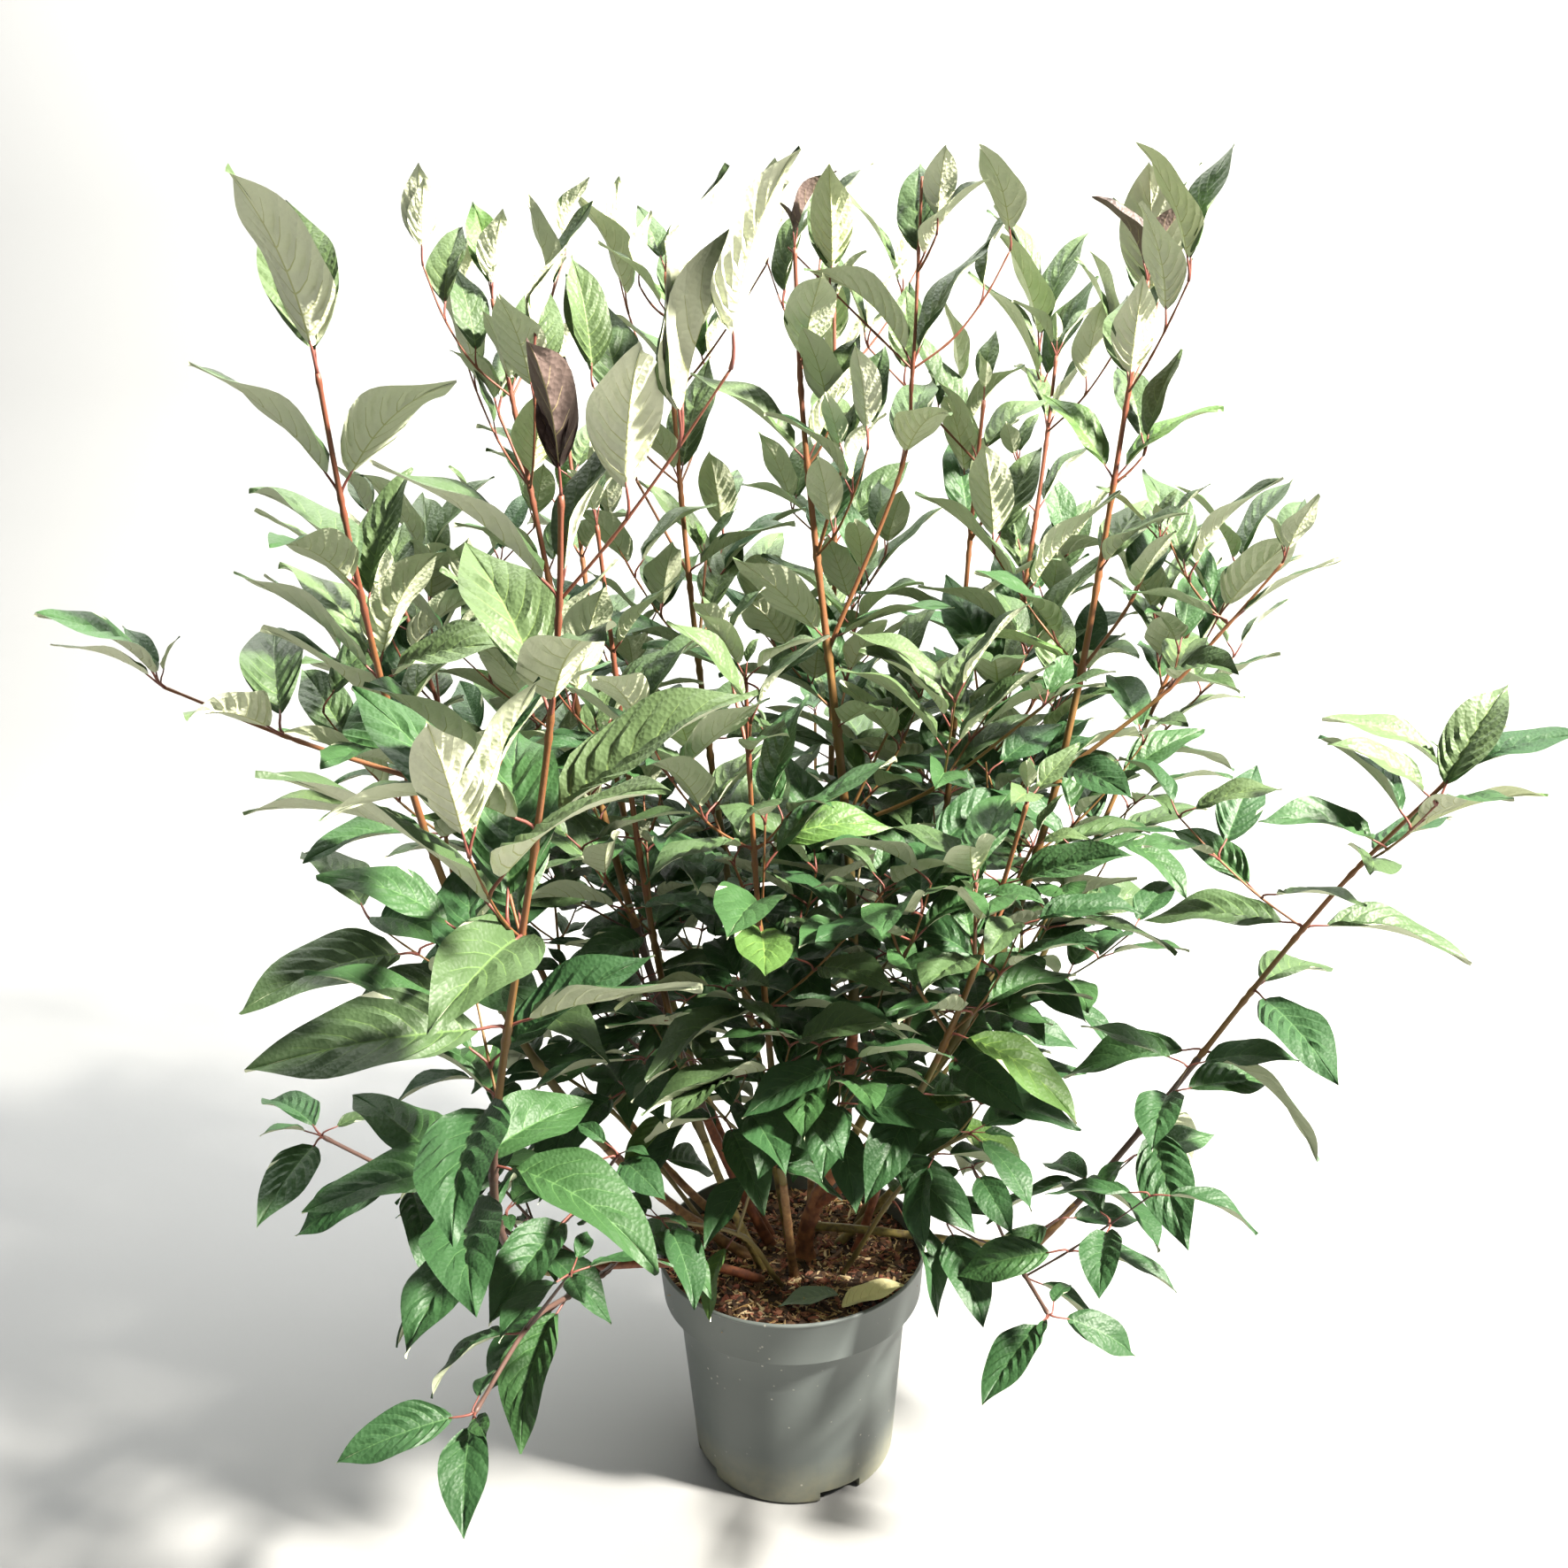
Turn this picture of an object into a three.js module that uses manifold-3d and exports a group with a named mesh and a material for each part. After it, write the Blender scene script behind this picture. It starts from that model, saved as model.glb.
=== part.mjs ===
// A potted red-barked dogwood: a shrub of many upright stems in a round nursery pot.
// Millimetres, +Z up. The origin is the middle of the pot's flat underside, and the side
// that shows most, with the tall front-left stem, faces -Y. Headings are degrees from +X.
import * as THREE from "three";
import { mergeVertices } from "three/addons/utils/BufferGeometryUtils.js";
import Module from "manifold-3d";

// Driving dimensions of the pot.
const RIM_RADIUS = 140;
const POT_HEIGHT = 246;
const COLLAR_HEIGHT = 50;
const COLLAR_FOOT_RADIUS = 135;
const COLLAR_STEP = 4.5;
const WALL = 2;
const SHOULDER_RADIUS = 117;
const SHOULDER_HEIGHT = 150;
const FOOT_RADIUS = 100;
const FLOOR_RISE = 15;
const LIP_HEIGHT = 4;
const DRAFT = 1.5;
const HUB_RADIUS = 60;
const FOOT_RING = 8;
const CORNER = 6;
const POT_SEGMENTS = 30;
const NOTCHES = 4;
const NOTCH_WIDTH = 46;
const NOTCH_TURN = 26;
const DRAIN_RADIUS = 8;
const DRAIN_AT = 79;

// The potting mix stands this far below the rim.
const MIX_DROP = 24;
const GAP = 0.3;

// Driving dimensions of the trunk.
const SOIL = POT_HEIGHT - MIX_DROP;
const TRUNK_FOOT = [14, 4];
const TRUNK_FORK = [50, 2, 342];
const TRUNK_THICK = 19;
const TRUNK_TOP_THICK = 15;
const FLARE = 1.7;
const FLARE_HEIGHT = 26;
const TRUNK_SIDES = 12;
const TRUNK_RINGS = 9;

// Limbs and twigs.
const BOUGH_SIDES = 6;
const BOUGH_STEP = 48;
const STEM_SIDES = 3;
const TIP_THICK = 3.4;
const FORK_THICK = 4.6;
const TWIG_THICK = 3.6;
const TWIG_TIP_THICK = 2.4;
const TWIG_SIDES = 3;
const TWIG_FREE = 12;
const LONG_TWIG = 170;
const SHORT_TWIG = 80;
const TWIG_RISE = 40;
const LOW_TWIGS = 1.3;

// Leaves: opposite pairs, each pair a quarter turn on from the last.
const LOW_INTERNODE = 98;
const HIGH_INTERNODE = 76;
const TWIG_INTERNODE = 84;
const FIRST_NODE = 0.35;
const LAST_NODE = 0.55;
const TWIG_BARE = 0.36;
const LEAF_WIDTH = 0.47;
const LEAF_THICK = 0.028;
const PETIOLE = 13;
const LOW_RISE = -22;
const HIGH_RISE = 66;
const DROOP_HEIGHT = 330;
const ERECT_HEIGHT = 1080;
const TIP_LEAF = 0.6;
const SPREAD = 0.25;
const TWIG_LIFT = 24;
const TIP_LIFT = 10;
const TIP_ROOT = 2;
const TWIG_LEAF = 0.8;
const FORK_LEAF = 0.95;
const END_PAIR = 0.86;
const MIDDLE_PAIR = 1.14;
const QUARTER_TURN = 90;
const CLEAR = 0.6;

// How far each of these varies in all, from the least to the most.
const VARY = {
  node: 0.16,
  turn: 14,
  heading: 24,
  rise: 26,
  roll: 1.1,
  length: 0.2,
  width: 0.16,
  curl: 0.65,
  fold: 0.38,
  reach: 0.5,
  twigRise: 20,
};
const LEAF_CURL = 0.68;
const LEAF_FOLD = 0.31;

// The space that the crown keeps to.
const CROWN_LOW = [-560, -600, 262];
const CROWN_HIGH = [640, 500, 1306];

// The stems. foot: place on the soil, or share of the way up the limb named by "on".
// leave and arrive: heading and rise of the stem at its foot and tip. tip: its end.
// bare: share of its length that is bare bough. leaf: full length of its leaf blades.
// turn: heading of its lowest leaf pair. side: share of its axils that bear a twig.
// forks: side limbs, each with its place along the stem, heading, rise at foot and tip,
// and length.
const STEMS = [
  {
    name: "centre", on: "trunk", at: 1, leave: [10, 80], tip: [18, 0, 1228], arrive: [90, 88],
    thick: 13, bare: 0.16, leaf: 106, turn: 10, side: 0.15,
    forks: [
      { at: 0.38, heading: -28, rise: [20, 42], length: 240 },
      { at: 0.56, heading: 4, rise: [52, 87], length: 430 },
    ],
  },
  {
    name: "right", on: "trunk", at: 0.78, leave: [-4, 40], tip: [320, 0, 1196], arrive: [0, 82],
    thick: 11, bare: 0.2, leaf: 100, turn: 0, side: 0.15, tipLeaf: 0.75,
    forks: [{ at: 0.5, heading: -8, rise: [32, 52], length: 280 }],
  },
  {
    name: "left", foot: [-44, 6], leave: [181, 36], tip: [-308, -318, 1150], arrive: [272, 74],
    thick: 11, bare: 0.2, leaf: 124, turn: 175, side: 0.16, tipLeaf: 1.1,
    forks: [{ at: 0.68, heading: 178, rise: [16, 24], length: 205 }],
  },
  {
    name: "left_centre", foot: [-22, 26], leave: [165, 62], tip: [-252, 60, 1190], arrive: [172, 82],
    thick: 11, bare: 0.16, leaf: 106, turn: 20, side: 0.17, tipLeaf: 0.8,
  },
  {
    name: "middle_back", foot: [-2, 34], leave: [125, 74], tip: [-102, 150, 1210], arrive: [100, 86],
    thick: 10, bare: 0.24, leaf: 102, turn: 60, side: 0.15,
  },
  {
    name: "back", on: "trunk", at: 0.74, leave: [88, 46], tip: [62, 300, 1172], arrive: [92, 80],
    thick: 10, bare: 0.2, leaf: 104, turn: 80, side: 0.19,
  },
  {
    name: "back_left", foot: [-24, 48], leave: [132, 44], tip: [-232, 338, 1106], arrive: [112, 78],
    thick: 10, bare: 0.2, leaf: 106, turn: 130, side: 0.19,
  },
  {
    name: "back_right", on: "trunk", at: 0.56, leave: [44, 40], tip: [292, 278, 1120], arrive: [60, 78],
    thick: 10, bare: 0.2, leaf: 104, turn: 40, side: 0.19,
  },
  {
    name: "far_left", foot: [-44, 32], leave: [166, 34], tip: [-398, 132, 980], arrive: [160, 70],
    thick: 9, bare: 0.22, leaf: 104, turn: 170, side: 0.19,
  },
  {
    name: "right_inner", foot: [68, 13], leave: [36, 64], tip: [196, 110, 1090], arrive: [20, 84],
    thick: 9, bare: 0.2, leaf: 100, turn: 110, side: 0.15,
  },
  {
    name: "right_back", foot: [50, 27], leave: [18, 36], tip: [432, 168, 880], arrive: [20, 62],
    thick: 9, bare: 0.26, leaf: 104, turn: 16, side: 0.19,
  },
  {
    name: "front", foot: [2, -26], leave: [262, 66], tip: [-28, -212, 905], arrive: [268, 80],
    thick: 9, bare: 0.22, leaf: 104, turn: 200, side: 0.15,
  },
  {
    name: "front_right", on: "trunk", at: 0.5, leave: [-48, 42], tip: [196, -216, 800], arrive: [-50, 74],
    thick: 9, bare: 0.2, leaf: 106, turn: 330, side: 0.19,
  },
  {
    name: "left_inner", foot: [-30, -14], leave: [200, 66], tip: [-152, -92, 1010], arrive: [230, 84],
    thick: 9, bare: 0.22, leaf: 102, turn: 250, side: 0.15,
  },
  {
    name: "low_back", foot: [18, 46], leave: [84, 30], tip: [40, 420, 700], arrive: [88, 52],
    thick: 8, bare: 0.3, leaf: 106, turn: 90, side: 0.19,
  },
  {
    name: "over_left_rim", foot: [-34, -34], leave: [208, 40], tip: [-218, -128, 306], arrive: [206, 12],
    thick: 10, bare: 1,
  },
  {
    name: "front_left", on: "over_left_rim", at: 1, leave: [250, 30], tip: [-122, -516, 1092],
    arrive: [288, 76], thick: 8.6, bare: 0.12, leaf: 138, turn: 178, side: 0.14,
  },
  {
    name: "low_left", on: "over_left_rim", at: 0.86, leave: [186, 24], tip: [-404, -214, 506],
    arrive: [206, 40], thick: 6, bare: 0, leaf: 110, turn: 200, side: 0.3, tipLeaf: 0.9,
  },
  {
    name: "low_front", on: "over_left_rim", at: 0.78, leave: [262, 18], tip: [-248, -404, 372],
    arrive: [256, -22], thick: 6, bare: 0, leaf: 108, turn: 170, side: 0.35, tipLeaf: 0.9,
  },
  {
    name: "over_right_rim", on: "trunk", at: 0.3, leave: [-4, 0], tip: [250, -34, 258], arrive: [-10, 6],
    thick: 9, bare: 1,
  },
  {
    name: "far_right", on: "over_right_rim", at: 1, leave: [-8, 52], tip: [540, -206, 812],
    arrive: [-40, 52], thick: 7.4, bare: 0.1, leaf: 118, turn: 170, side: 0.06, tipLeaf: 0.9,
  },
  {
    name: "low_right", on: "over_right_rim", at: 0.84, leave: [-70, 24], tip: [232, -210, 306],
    arrive: [-62, -16], thick: 5.6, bare: 0, leaf: 104, turn: 20, side: 0.19, tipLeaf: 0.9,
  },
  {
    name: "rim_left", foot: [-10, -46], leave: [232, 56], tip: [-118, -176, 392], arrive: [214, 8],
    thick: 5.6, bare: 0, leaf: 104, turn: 120, side: 0.19, tipLeaf: 0.9,
  },
  {
    name: "rim_right", foot: [52, -26], leave: [-30, 60], tip: [168, -118, 440], arrive: [-30, 36],
    thick: 5.6, bare: 0, leaf: 104, turn: 20, side: 0.19, tipLeaf: 0.9,
  },
  {
    name: "rim_back_right", foot: [62, 38], leave: [34, 54], tip: [222, 140, 420], arrive: [30, 24],
    thick: 5.6, bare: 0, leaf: 104, turn: 60, side: 0.19, tipLeaf: 0.9,
  },
  {
    name: "rim_back_left", foot: [-52, 58], leave: [138, 54], tip: [-190, 190, 430], arrive: [136, 24],
    thick: 5.6, bare: 0, leaf: 104, turn: 140, side: 0.19, tipLeaf: 0.9,
  },
  {
    name: "rim_far_left", foot: [-66, 12], leave: [176, 52], tip: [-260, 46, 440], arrive: [172, 24],
    thick: 5.6, bare: 0, leaf: 104, turn: 90, side: 0.19, tipLeaf: 0.9,
  },
];

// Two leaves that fell flat on the mix: place, heading and blade length.
const FALLEN_ROOT = SOIL - 2;
const FALLEN_RISE = 4;
const FALLEN_CURL = 0.16;
const FALLEN_FOLD = 0.12;
const FALLEN = [
  { at: [22, -86], heading: 190, length: 62 },
  { at: [42, -92], heading: 14, length: 56 },
];

const FINISH = {
  pot: { color: 0x6f7674, roughness: 0.55, metalness: 0 },
  mix: { color: 0x4a3222, roughness: 0.95, metalness: 0 },
  bark: { color: 0x9c5a38, roughness: 0.7, metalness: 0 },
  bough: { color: 0x8a6a3a, roughness: 0.65, metalness: 0 },
  foliage: { color: 0x4f7a4c, roughness: 0.6, metalness: 0 },
};

const WELD = 1e-4;
const wasm = await Module();
wasm.setup();

const group = new THREE.Group();

// A closed geometry as a solid, with its faces turned out.
function solidOf(geometry) {
  const bare = geometry.clone();
  bare.deleteAttribute("normal");
  bare.deleteAttribute("uv");
  const merged = mergeVertices(bare, WELD);
  const triVerts = new Uint32Array(merged.index.array);
  const vertProperties = merged.attributes.position.array;
  return new wasm.Manifold(new wasm.Mesh({ numProp: 3, vertProperties, triVerts }));
}

// A mesh for a solid, placed by a point of its own.
function addMesh(name, solid, finish, place = new THREE.Vector3()) {
  const cut = solid.getMesh();
  const position = new Float32Array(cut.numVert * 3);
  for (let i = 0; i < cut.numVert; i += 1) {
    const from = i * cut.numProp;
    position.set(cut.vertProperties.subarray(from, from + 3), i * 3);
  }
  const geometry = new THREE.BufferGeometry();
  geometry.setAttribute("position", new THREE.BufferAttribute(position, 3));
  geometry.setIndex(new THREE.BufferAttribute(new Uint32Array(cut.triVerts), 1));
  geometry.translate(-place.x, -place.y, -place.z);
  geometry.computeVertexNormals();
  const mesh = new THREE.Mesh(geometry, new THREE.MeshStandardMaterial(finish));
  mesh.name = name;
  mesh.position.copy(place);
  group.add(mesh);
}

// A solid of revolution about Z from a profile of radius and height.
function turned(profile, segments) {
  const points = profile.map(([radius, height]) => new THREE.Vector2(radius, height));
  return solidOf(new THREE.LatheGeometry(points, segments).rotateX(Math.PI / 2));
}

// The pot: hub and foot ring on the ground, a raised channel between them that drains
// through notches in the ring, a tapering wall that flares at its shoulder, and a collar
// with a thin lip.
const collarFoot = POT_HEIGHT - COLLAR_HEIGHT;
const wallTop = COLLAR_FOOT_RADIUS - COLLAR_STEP - DRAFT;
function potInner(inset) {
  return [
    [RIM_RADIUS - DRAFT - WALL - inset, POT_HEIGHT],
    [COLLAR_FOOT_RADIUS - WALL - inset, collarFoot + WALL],
    [wallTop - WALL - inset, collarFoot - WALL],
    [SHOULDER_RADIUS - WALL - inset, SHOULDER_HEIGHT],
    [FOOT_RADIUS + CORNER - WALL - inset, FLOOR_RISE + WALL + CORNER + inset],
    [FOOT_RADIUS - CORNER - inset, FLOOR_RISE + WALL + inset],
    [HUB_RADIUS - inset, FLOOR_RISE + WALL + inset],
    [HUB_RADIUS - WALL - inset, WALL + inset],
    [0, WALL + inset],
  ];
}
function makePot() {
  const outer = [
    [0, 0],
    [HUB_RADIUS, 0],
    [HUB_RADIUS + WALL, FLOOR_RISE],
    [FOOT_RADIUS - FOOT_RING - WALL, FLOOR_RISE],
    [FOOT_RADIUS - FOOT_RING, 0],
    [FOOT_RADIUS, 0],
    [FOOT_RADIUS + CORNER, CORNER],
    [SHOULDER_RADIUS, SHOULDER_HEIGHT],
    [wallTop, collarFoot - WALL],
    [COLLAR_FOOT_RADIUS, collarFoot],
    [RIM_RADIUS - DRAFT, POT_HEIGHT - LIP_HEIGHT],
    [RIM_RADIUS, POT_HEIGHT - LIP_HEIGHT],
    [RIM_RADIUS, POT_HEIGHT],
  ];
  let pot = turned([...outer, ...potInner(0)], POT_SEGMENTS);
  for (let i = 0; i < NOTCHES; i += 1) {
    const turn = THREE.MathUtils.degToRad(NOTCH_TURN + (i * 360) / NOTCHES);
    const notch = new THREE.BoxGeometry(FOOT_RING * 4, NOTCH_WIDTH, FLOOR_RISE * 2);
    notch.translate(FOOT_RADIUS - FOOT_RING / 2, 0, 0).rotateZ(turn);
    const drain = new THREE.CylinderGeometry(DRAIN_RADIUS, DRAIN_RADIUS, FLOOR_RISE, 10);
    drain.rotateX(Math.PI / 2).translate(DRAIN_AT, 0, FLOOR_RISE + WALL / 2).rotateZ(turn);
    pot = pot.subtract(solidOf(notch)).subtract(solidOf(drain));
  }
  return pot;
}

// Rings of points round a path, closed by a fan at each end. A flat foot lies level.
function limbSolid({ points, tangents, radii }, sides, flatFoot = false) {
  const position = [];
  const index = [];
  const side = new THREE.Vector3();
  side.crossVectors(tangents[0], new THREE.Vector3(0.3, 0.9, 0.1)).normalize();
  points.forEach((point, ring) => {
    const axis = flatFoot && ring === 0 ? new THREE.Vector3(0, 0, 1) : tangents[ring];
    side.addScaledVector(axis, -side.dot(axis)).normalize();
    const other = new THREE.Vector3().crossVectors(axis, side);
    for (let i = 0; i < sides; i += 1) {
      const angle = (2 * Math.PI * i) / sides;
      const rim = point.clone().addScaledVector(side, radii[ring] * Math.cos(angle));
      rim.addScaledVector(other, radii[ring] * Math.sin(angle));
      position.push(rim.x, rim.y, rim.z);
      if (ring > 0) {
        const here = ring * sides + i;
        const next = ring * sides + ((i + 1) % sides);
        index.push(here - sides, next - sides, next, here - sides, next, here);
      }
    }
  });
  const last = (points.length - 1) * sides;
  for (let i = 1; i < sides - 1; i += 1) {
    index.push(0, i + 1, i);
    index.push(last, last + i, last + i + 1);
  }
  const geometry = new THREE.BufferGeometry();
  geometry.setAttribute("position", new THREE.Float32BufferAttribute(position, 3));
  geometry.setIndex(index);
  return solidOf(geometry);
}

function direction(heading, rise) {
  const turn = THREE.MathUtils.degToRad(heading);
  const lift = THREE.MathUtils.degToRad(rise);
  const flat = Math.cos(lift);
  return new THREE.Vector3(flat * Math.cos(turn), flat * Math.sin(turn), Math.sin(lift));
}

// A path from foot to tip that leaves and arrives in the given directions.
function pathOf(foot, leave, tip, arrive) {
  const pull = foot.distanceTo(tip) / 3;
  const start = foot.clone().addScaledVector(leave, pull);
  const end = tip.clone().addScaledVector(arrive, -pull);
  return new THREE.CubicBezierCurve3(foot, start, end, tip);
}

// A shoot bends just under each of its nodes.
const BEND = 7;
function bendsOf(path, from, nodes) {
  return [from, ...nodes.map((node) => node - BEND / path.getLength()), 1];
}

// Rings at the given shares of a path's length, thinning evenly from the first to the last.
function ringsAt(path, shares, thickFrom, thickTo) {
  const [first, last] = [shares[0], shares[shares.length - 1]];
  return {
    points: shares.map((share) => path.getPointAt(share)),
    tangents: shares.map((share) => path.getTangentAt(share)),
    radii: shares.map((share) => mix(thickFrom, thickTo, (share - first) / (last - first)) / 2),
  };
}
function evenShares(path, from, to, step) {
  const count = Math.max(2, Math.ceil(((to - from) * path.getLength()) / step) + 1);
  return Array.from({ length: count }, (_, i) => from + ((to - from) * i) / (count - 1));
}
// The room that a limb takes up, a gap larger all round, that is cut from what grows on it.
function roomOf({ points, tangents, radii }, sides, flatFoot) {
  const last = points.length - 1;
  const wide = radii.map((radius) => radius + GAP);
  const long = points.map((point) => point.clone());
  long[last].addScaledVector(tangents[last], GAP);
  return limbSolid({ points: long, tangents, radii: wide }, sides, flatFoot);
}

// The trunk: a short leaning stem that flares to a flat cut at the soil.
const trunkFoot = new THREE.Vector3(...TRUNK_FOOT, SOIL + GAP);
const trunkFork = new THREE.Vector3(...TRUNK_FORK);
const trunkPath = pathOf(trunkFoot, direction(150, 84), trunkFork, direction(2, 66));
function trunkRadius(share) {
  const height = share * trunkPath.getLength();
  const shaft = (TRUNK_THICK + (TRUNK_TOP_THICK - TRUNK_THICK) * share) / 2;
  return shaft * (1 + (FLARE - 1) * Math.exp((-3 * height) / FLARE_HEIGHT));
}
function trunkRings() {
  const points = [];
  const tangents = [];
  const radii = [];
  for (let ring = 0; ring < TRUNK_RINGS; ring += 1) {
    const share = (ring / (TRUNK_RINGS - 1)) ** 1.4;
    points.push(trunkPath.getPointAt(share));
    tangents.push(trunkPath.getTangentAt(share));
    radii.push(trunkRadius(share));
  }
  return { points, tangents, radii };
}

// Numbers between 0 and 1 that come out the same on every run.
function seeded(seed) {
  let state = (seed * 7919 + 17) >>> 0;
  const next = () => {
    state = (Math.imul(state, 1664525) + 1013904223) >>> 0;
    return state / 4294967296;
  };
  next();
  next();
  return next;
}

function vary(middle, range, random) {
  return middle + range * (random() - 0.5);
}

function mix(low, high, share) {
  return low + (high - low) * Math.min(1, Math.max(0, share));
}

// A leaf's rib bends back from its face on an arc. Gives the point and the face there.
function ribAt(leaf, share) {
  const bend = leaf.curl * share;
  const reach = (leaf.length * Math.sin(bend)) / leaf.curl;
  const drop = (leaf.length * (1 - Math.cos(bend))) / leaf.curl;
  const point = leaf.root.clone().addScaledVector(leaf.along, PETIOLE + reach);
  point.addScaledVector(leaf.face, -drop);
  const face = leaf.face.clone().multiplyScalar(Math.cos(bend));
  return { point, face: face.addScaledVector(leaf.along, Math.sin(bend)) };
}

// A leaf as a thin solid: its root, four points round its edge, its tip, and two points
// on the rib, over and under. It is rooted in the twig, or starts where the blade does.
const EDGE = [
  { at: 0.24, half: 0.47 },
  { at: 0.6, half: 0.4 },
];
const RIB_POINT = 0.2;
function leafSolid(leaf, rooted) {
  const side = new THREE.Vector3().crossVectors(leaf.along, leaf.face);
  const edgePoint = (edge, sign) => {
    const { point, face } = ribAt(leaf, edge.at);
    const half = edge.half * leaf.width;
    point.addScaledVector(side, sign * half * Math.cos(leaf.fold));
    return point.addScaledVector(face, half * Math.sin(leaf.fold));
  };
  const right = EDGE.map((edge) => edgePoint(edge, 1));
  const left = EDGE.map((edge) => edgePoint(edge, -1)).reverse();
  const root = rooted ? leaf.root : ribAt(leaf, 0).point;
  const rib = ribAt(leaf, RIB_POINT);
  const depth = (LEAF_THICK * leaf.length) / 2;
  const above = rib.point.clone().addScaledVector(rib.face, depth);
  const below = rib.point.clone().addScaledVector(rib.face, -depth);
  const edge = [root, ...right, ribAt(leaf, 1).point, ...left];
  const points = [...edge, above, below];
  const position = points.flatMap((point) => [point.x, point.y, point.z]);
  const index = [];
  edge.forEach((corner, i) => {
    const next = (i + 1) % edge.length;
    index.push(i, next, edge.length, next, i, edge.length + 1);
  });
  const geometry = new THREE.BufferGeometry();
  geometry.setAttribute("position", new THREE.Float32BufferAttribute(position, 3));
  geometry.setIndex(index);
  return solidOf(geometry);
}

// What stands in the crown's space so far, and whether a new piece is clear of it.
const standing = [];
function stand(owner, solid) {
  standing.push({ owner, solid, box: solid.boundingBox() });
}
function apart(a, b) {
  return [0, 1, 2].some((k) => a.min[k] > b.max[k] + CLEAR || b.min[k] > a.max[k] + CLEAR);
}
function isClear(solid, test) {
  const box = solid.boundingBox();
  return standing.every(
    (piece) => !test(piece.owner) || apart(box, piece.box) || solid.minGap(piece.solid, CLEAR) >= CLEAR,
  );
}
function inSpace(solid) {
  const box = solid.boundingBox();
  return [0, 1, 2].every((k) => box.min[k] >= CROWN_LOW[k] && box.max[k] <= CROWN_HIGH[k]);
}
// The outer part of a piece keeps clear of everything, and its root of other owners.
function fits(owner, whole, outer) {
  return inSpace(whole) && isClear(outer, () => true) && isClear(whole, (other) => other !== owner);
}

// A leaf by its place on a shoot: low leaves droop and high ones stand up steeply.
function leafAt(root, heading, scale, stem, lift, random) {
  const rise = mix(LOW_RISE, HIGH_RISE, (root.z - DROOP_HEIGHT) / (ERECT_HEIGHT - DROOP_HEIGHT));
  const turn = vary(heading, VARY.heading, random);
  const along = direction(turn, vary(rise + lift, VARY.rise, random));
  const face = new THREE.Vector3(0, 0, 1);
  face.addScaledVector(along, -face.dot(along)).normalize();
  face.applyAxisAngle(along, vary(0, VARY.roll, random));
  const length = vary(1, VARY.length, random) * stem.leaf * scale;
  const width = vary(1, VARY.width, random) * length * LEAF_WIDTH;
  const curl = vary(LEAF_CURL, VARY.curl, random);
  const fold = vary(LEAF_FOLD, VARY.fold, random);
  return { root, along, face, length, width, curl, fold };
}

// The heading of a pair's leaf: round the shoot, and pulled outward from the pot's axis.
const OUTWARD = 0.45;
function headingFrom(point, tangent, turn) {
  const around = direction(turn, 0);
  around.addScaledVector(tangent, -around.dot(tangent));
  const away = new THREE.Vector3(point.x, point.y, 0).normalize();
  around.addScaledVector(away, OUTWARD);
  return THREE.MathUtils.radToDeg(Math.atan2(around.y, around.x));
}

// A piece's attitude is tried as it comes, then a little to each side, then given up.
const TRIES = [0, 16, -16, 32, -32, 50, -50];
function settle(stem, leaf, solids) {
  for (const degrees of TRIES) {
    const turned = { ...leaf };
    const by = THREE.MathUtils.degToRad(degrees);
    turned.along = leaf.along.clone().applyAxisAngle(new THREE.Vector3(0, 0, 1), by);
    turned.face = leaf.face.clone().applyAxisAngle(new THREE.Vector3(0, 0, 1), by);
    const whole = leafSolid(turned, true);
    if (fits(stem.name, whole, leafSolid(turned, false))) {
      stand(stem.name, whole);
      solids.push(whole);
      return;
    }
  }
}

// The shares of a shoot's length at which its leaf pairs stand, closer towards the tip.
function nodesOf(path, from, internodes, random) {
  const length = path.getLength();
  const nodes = [];
  let run = from * length + internodes[0] * FIRST_NODE;
  while (run < length - internodes[1] * LAST_NODE) {
    const share = (run / length - from) / (1 - from);
    nodes.push(run / length);
    run += vary(1, VARY.node, random) * mix(internodes[0], internodes[1], share);
  }
  return nodes;
}

// Leaf pairs on a shoot's nodes, with twigs in some axils, and an upright pair at its tip.
function growAlong(stem, rings, leafScale, twigShare, random, solids) {
  const twigs = [];
  const bends = rings.points.slice(1, -1);
  const tip = rings.points[rings.points.length - 1];
  let turn = stem.turn;
  bends.forEach((bend, i) => {
    const share = (i + 0.5) / bends.length;
    const tangent = rings.points[i + 2].clone().sub(bend).normalize();
    const point = bend.clone().addScaledVector(tangent, BEND);
    for (const half of [0, 180]) {
      const heading = headingFrom(point, tangent, turn + half);
      const scale = leafScale * mix(END_PAIR, MIDDLE_PAIR, Math.sin(Math.PI * share));
      const leaf = leafAt(point, heading, scale, stem, 0, random);
      const bears = random() < twigShare * (LOW_TWIGS - share);
      const reach = vary(1, VARY.reach, random) * mix(LONG_TWIG, SHORT_TWIG, share);
      const rise = vary(TWIG_RISE, VARY.twigRise, random);
      if (bears) twigs.push({ point, heading, reach, rise: [rise, rise + TWIG_LIFT] });
      else settle(stem, leaf, solids);
    }
    turn += vary(QUARTER_TURN, VARY.turn, random);
  });
  const lean = tip.clone().sub(rings.points[rings.points.length - 2]).normalize();
  const root = tip.clone().addScaledVector(lean, -TIP_ROOT);
  for (const half of [0, 180]) {
    const heading = headingFrom(root, lean, turn + half);
    const scale = leafScale * (stem.tipLeaf ?? TIP_LEAF);
    settle(stem, leafAt(root, heading, scale, stem, TIP_LIFT, random), solids);
  }
  return twigs;
}

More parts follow.
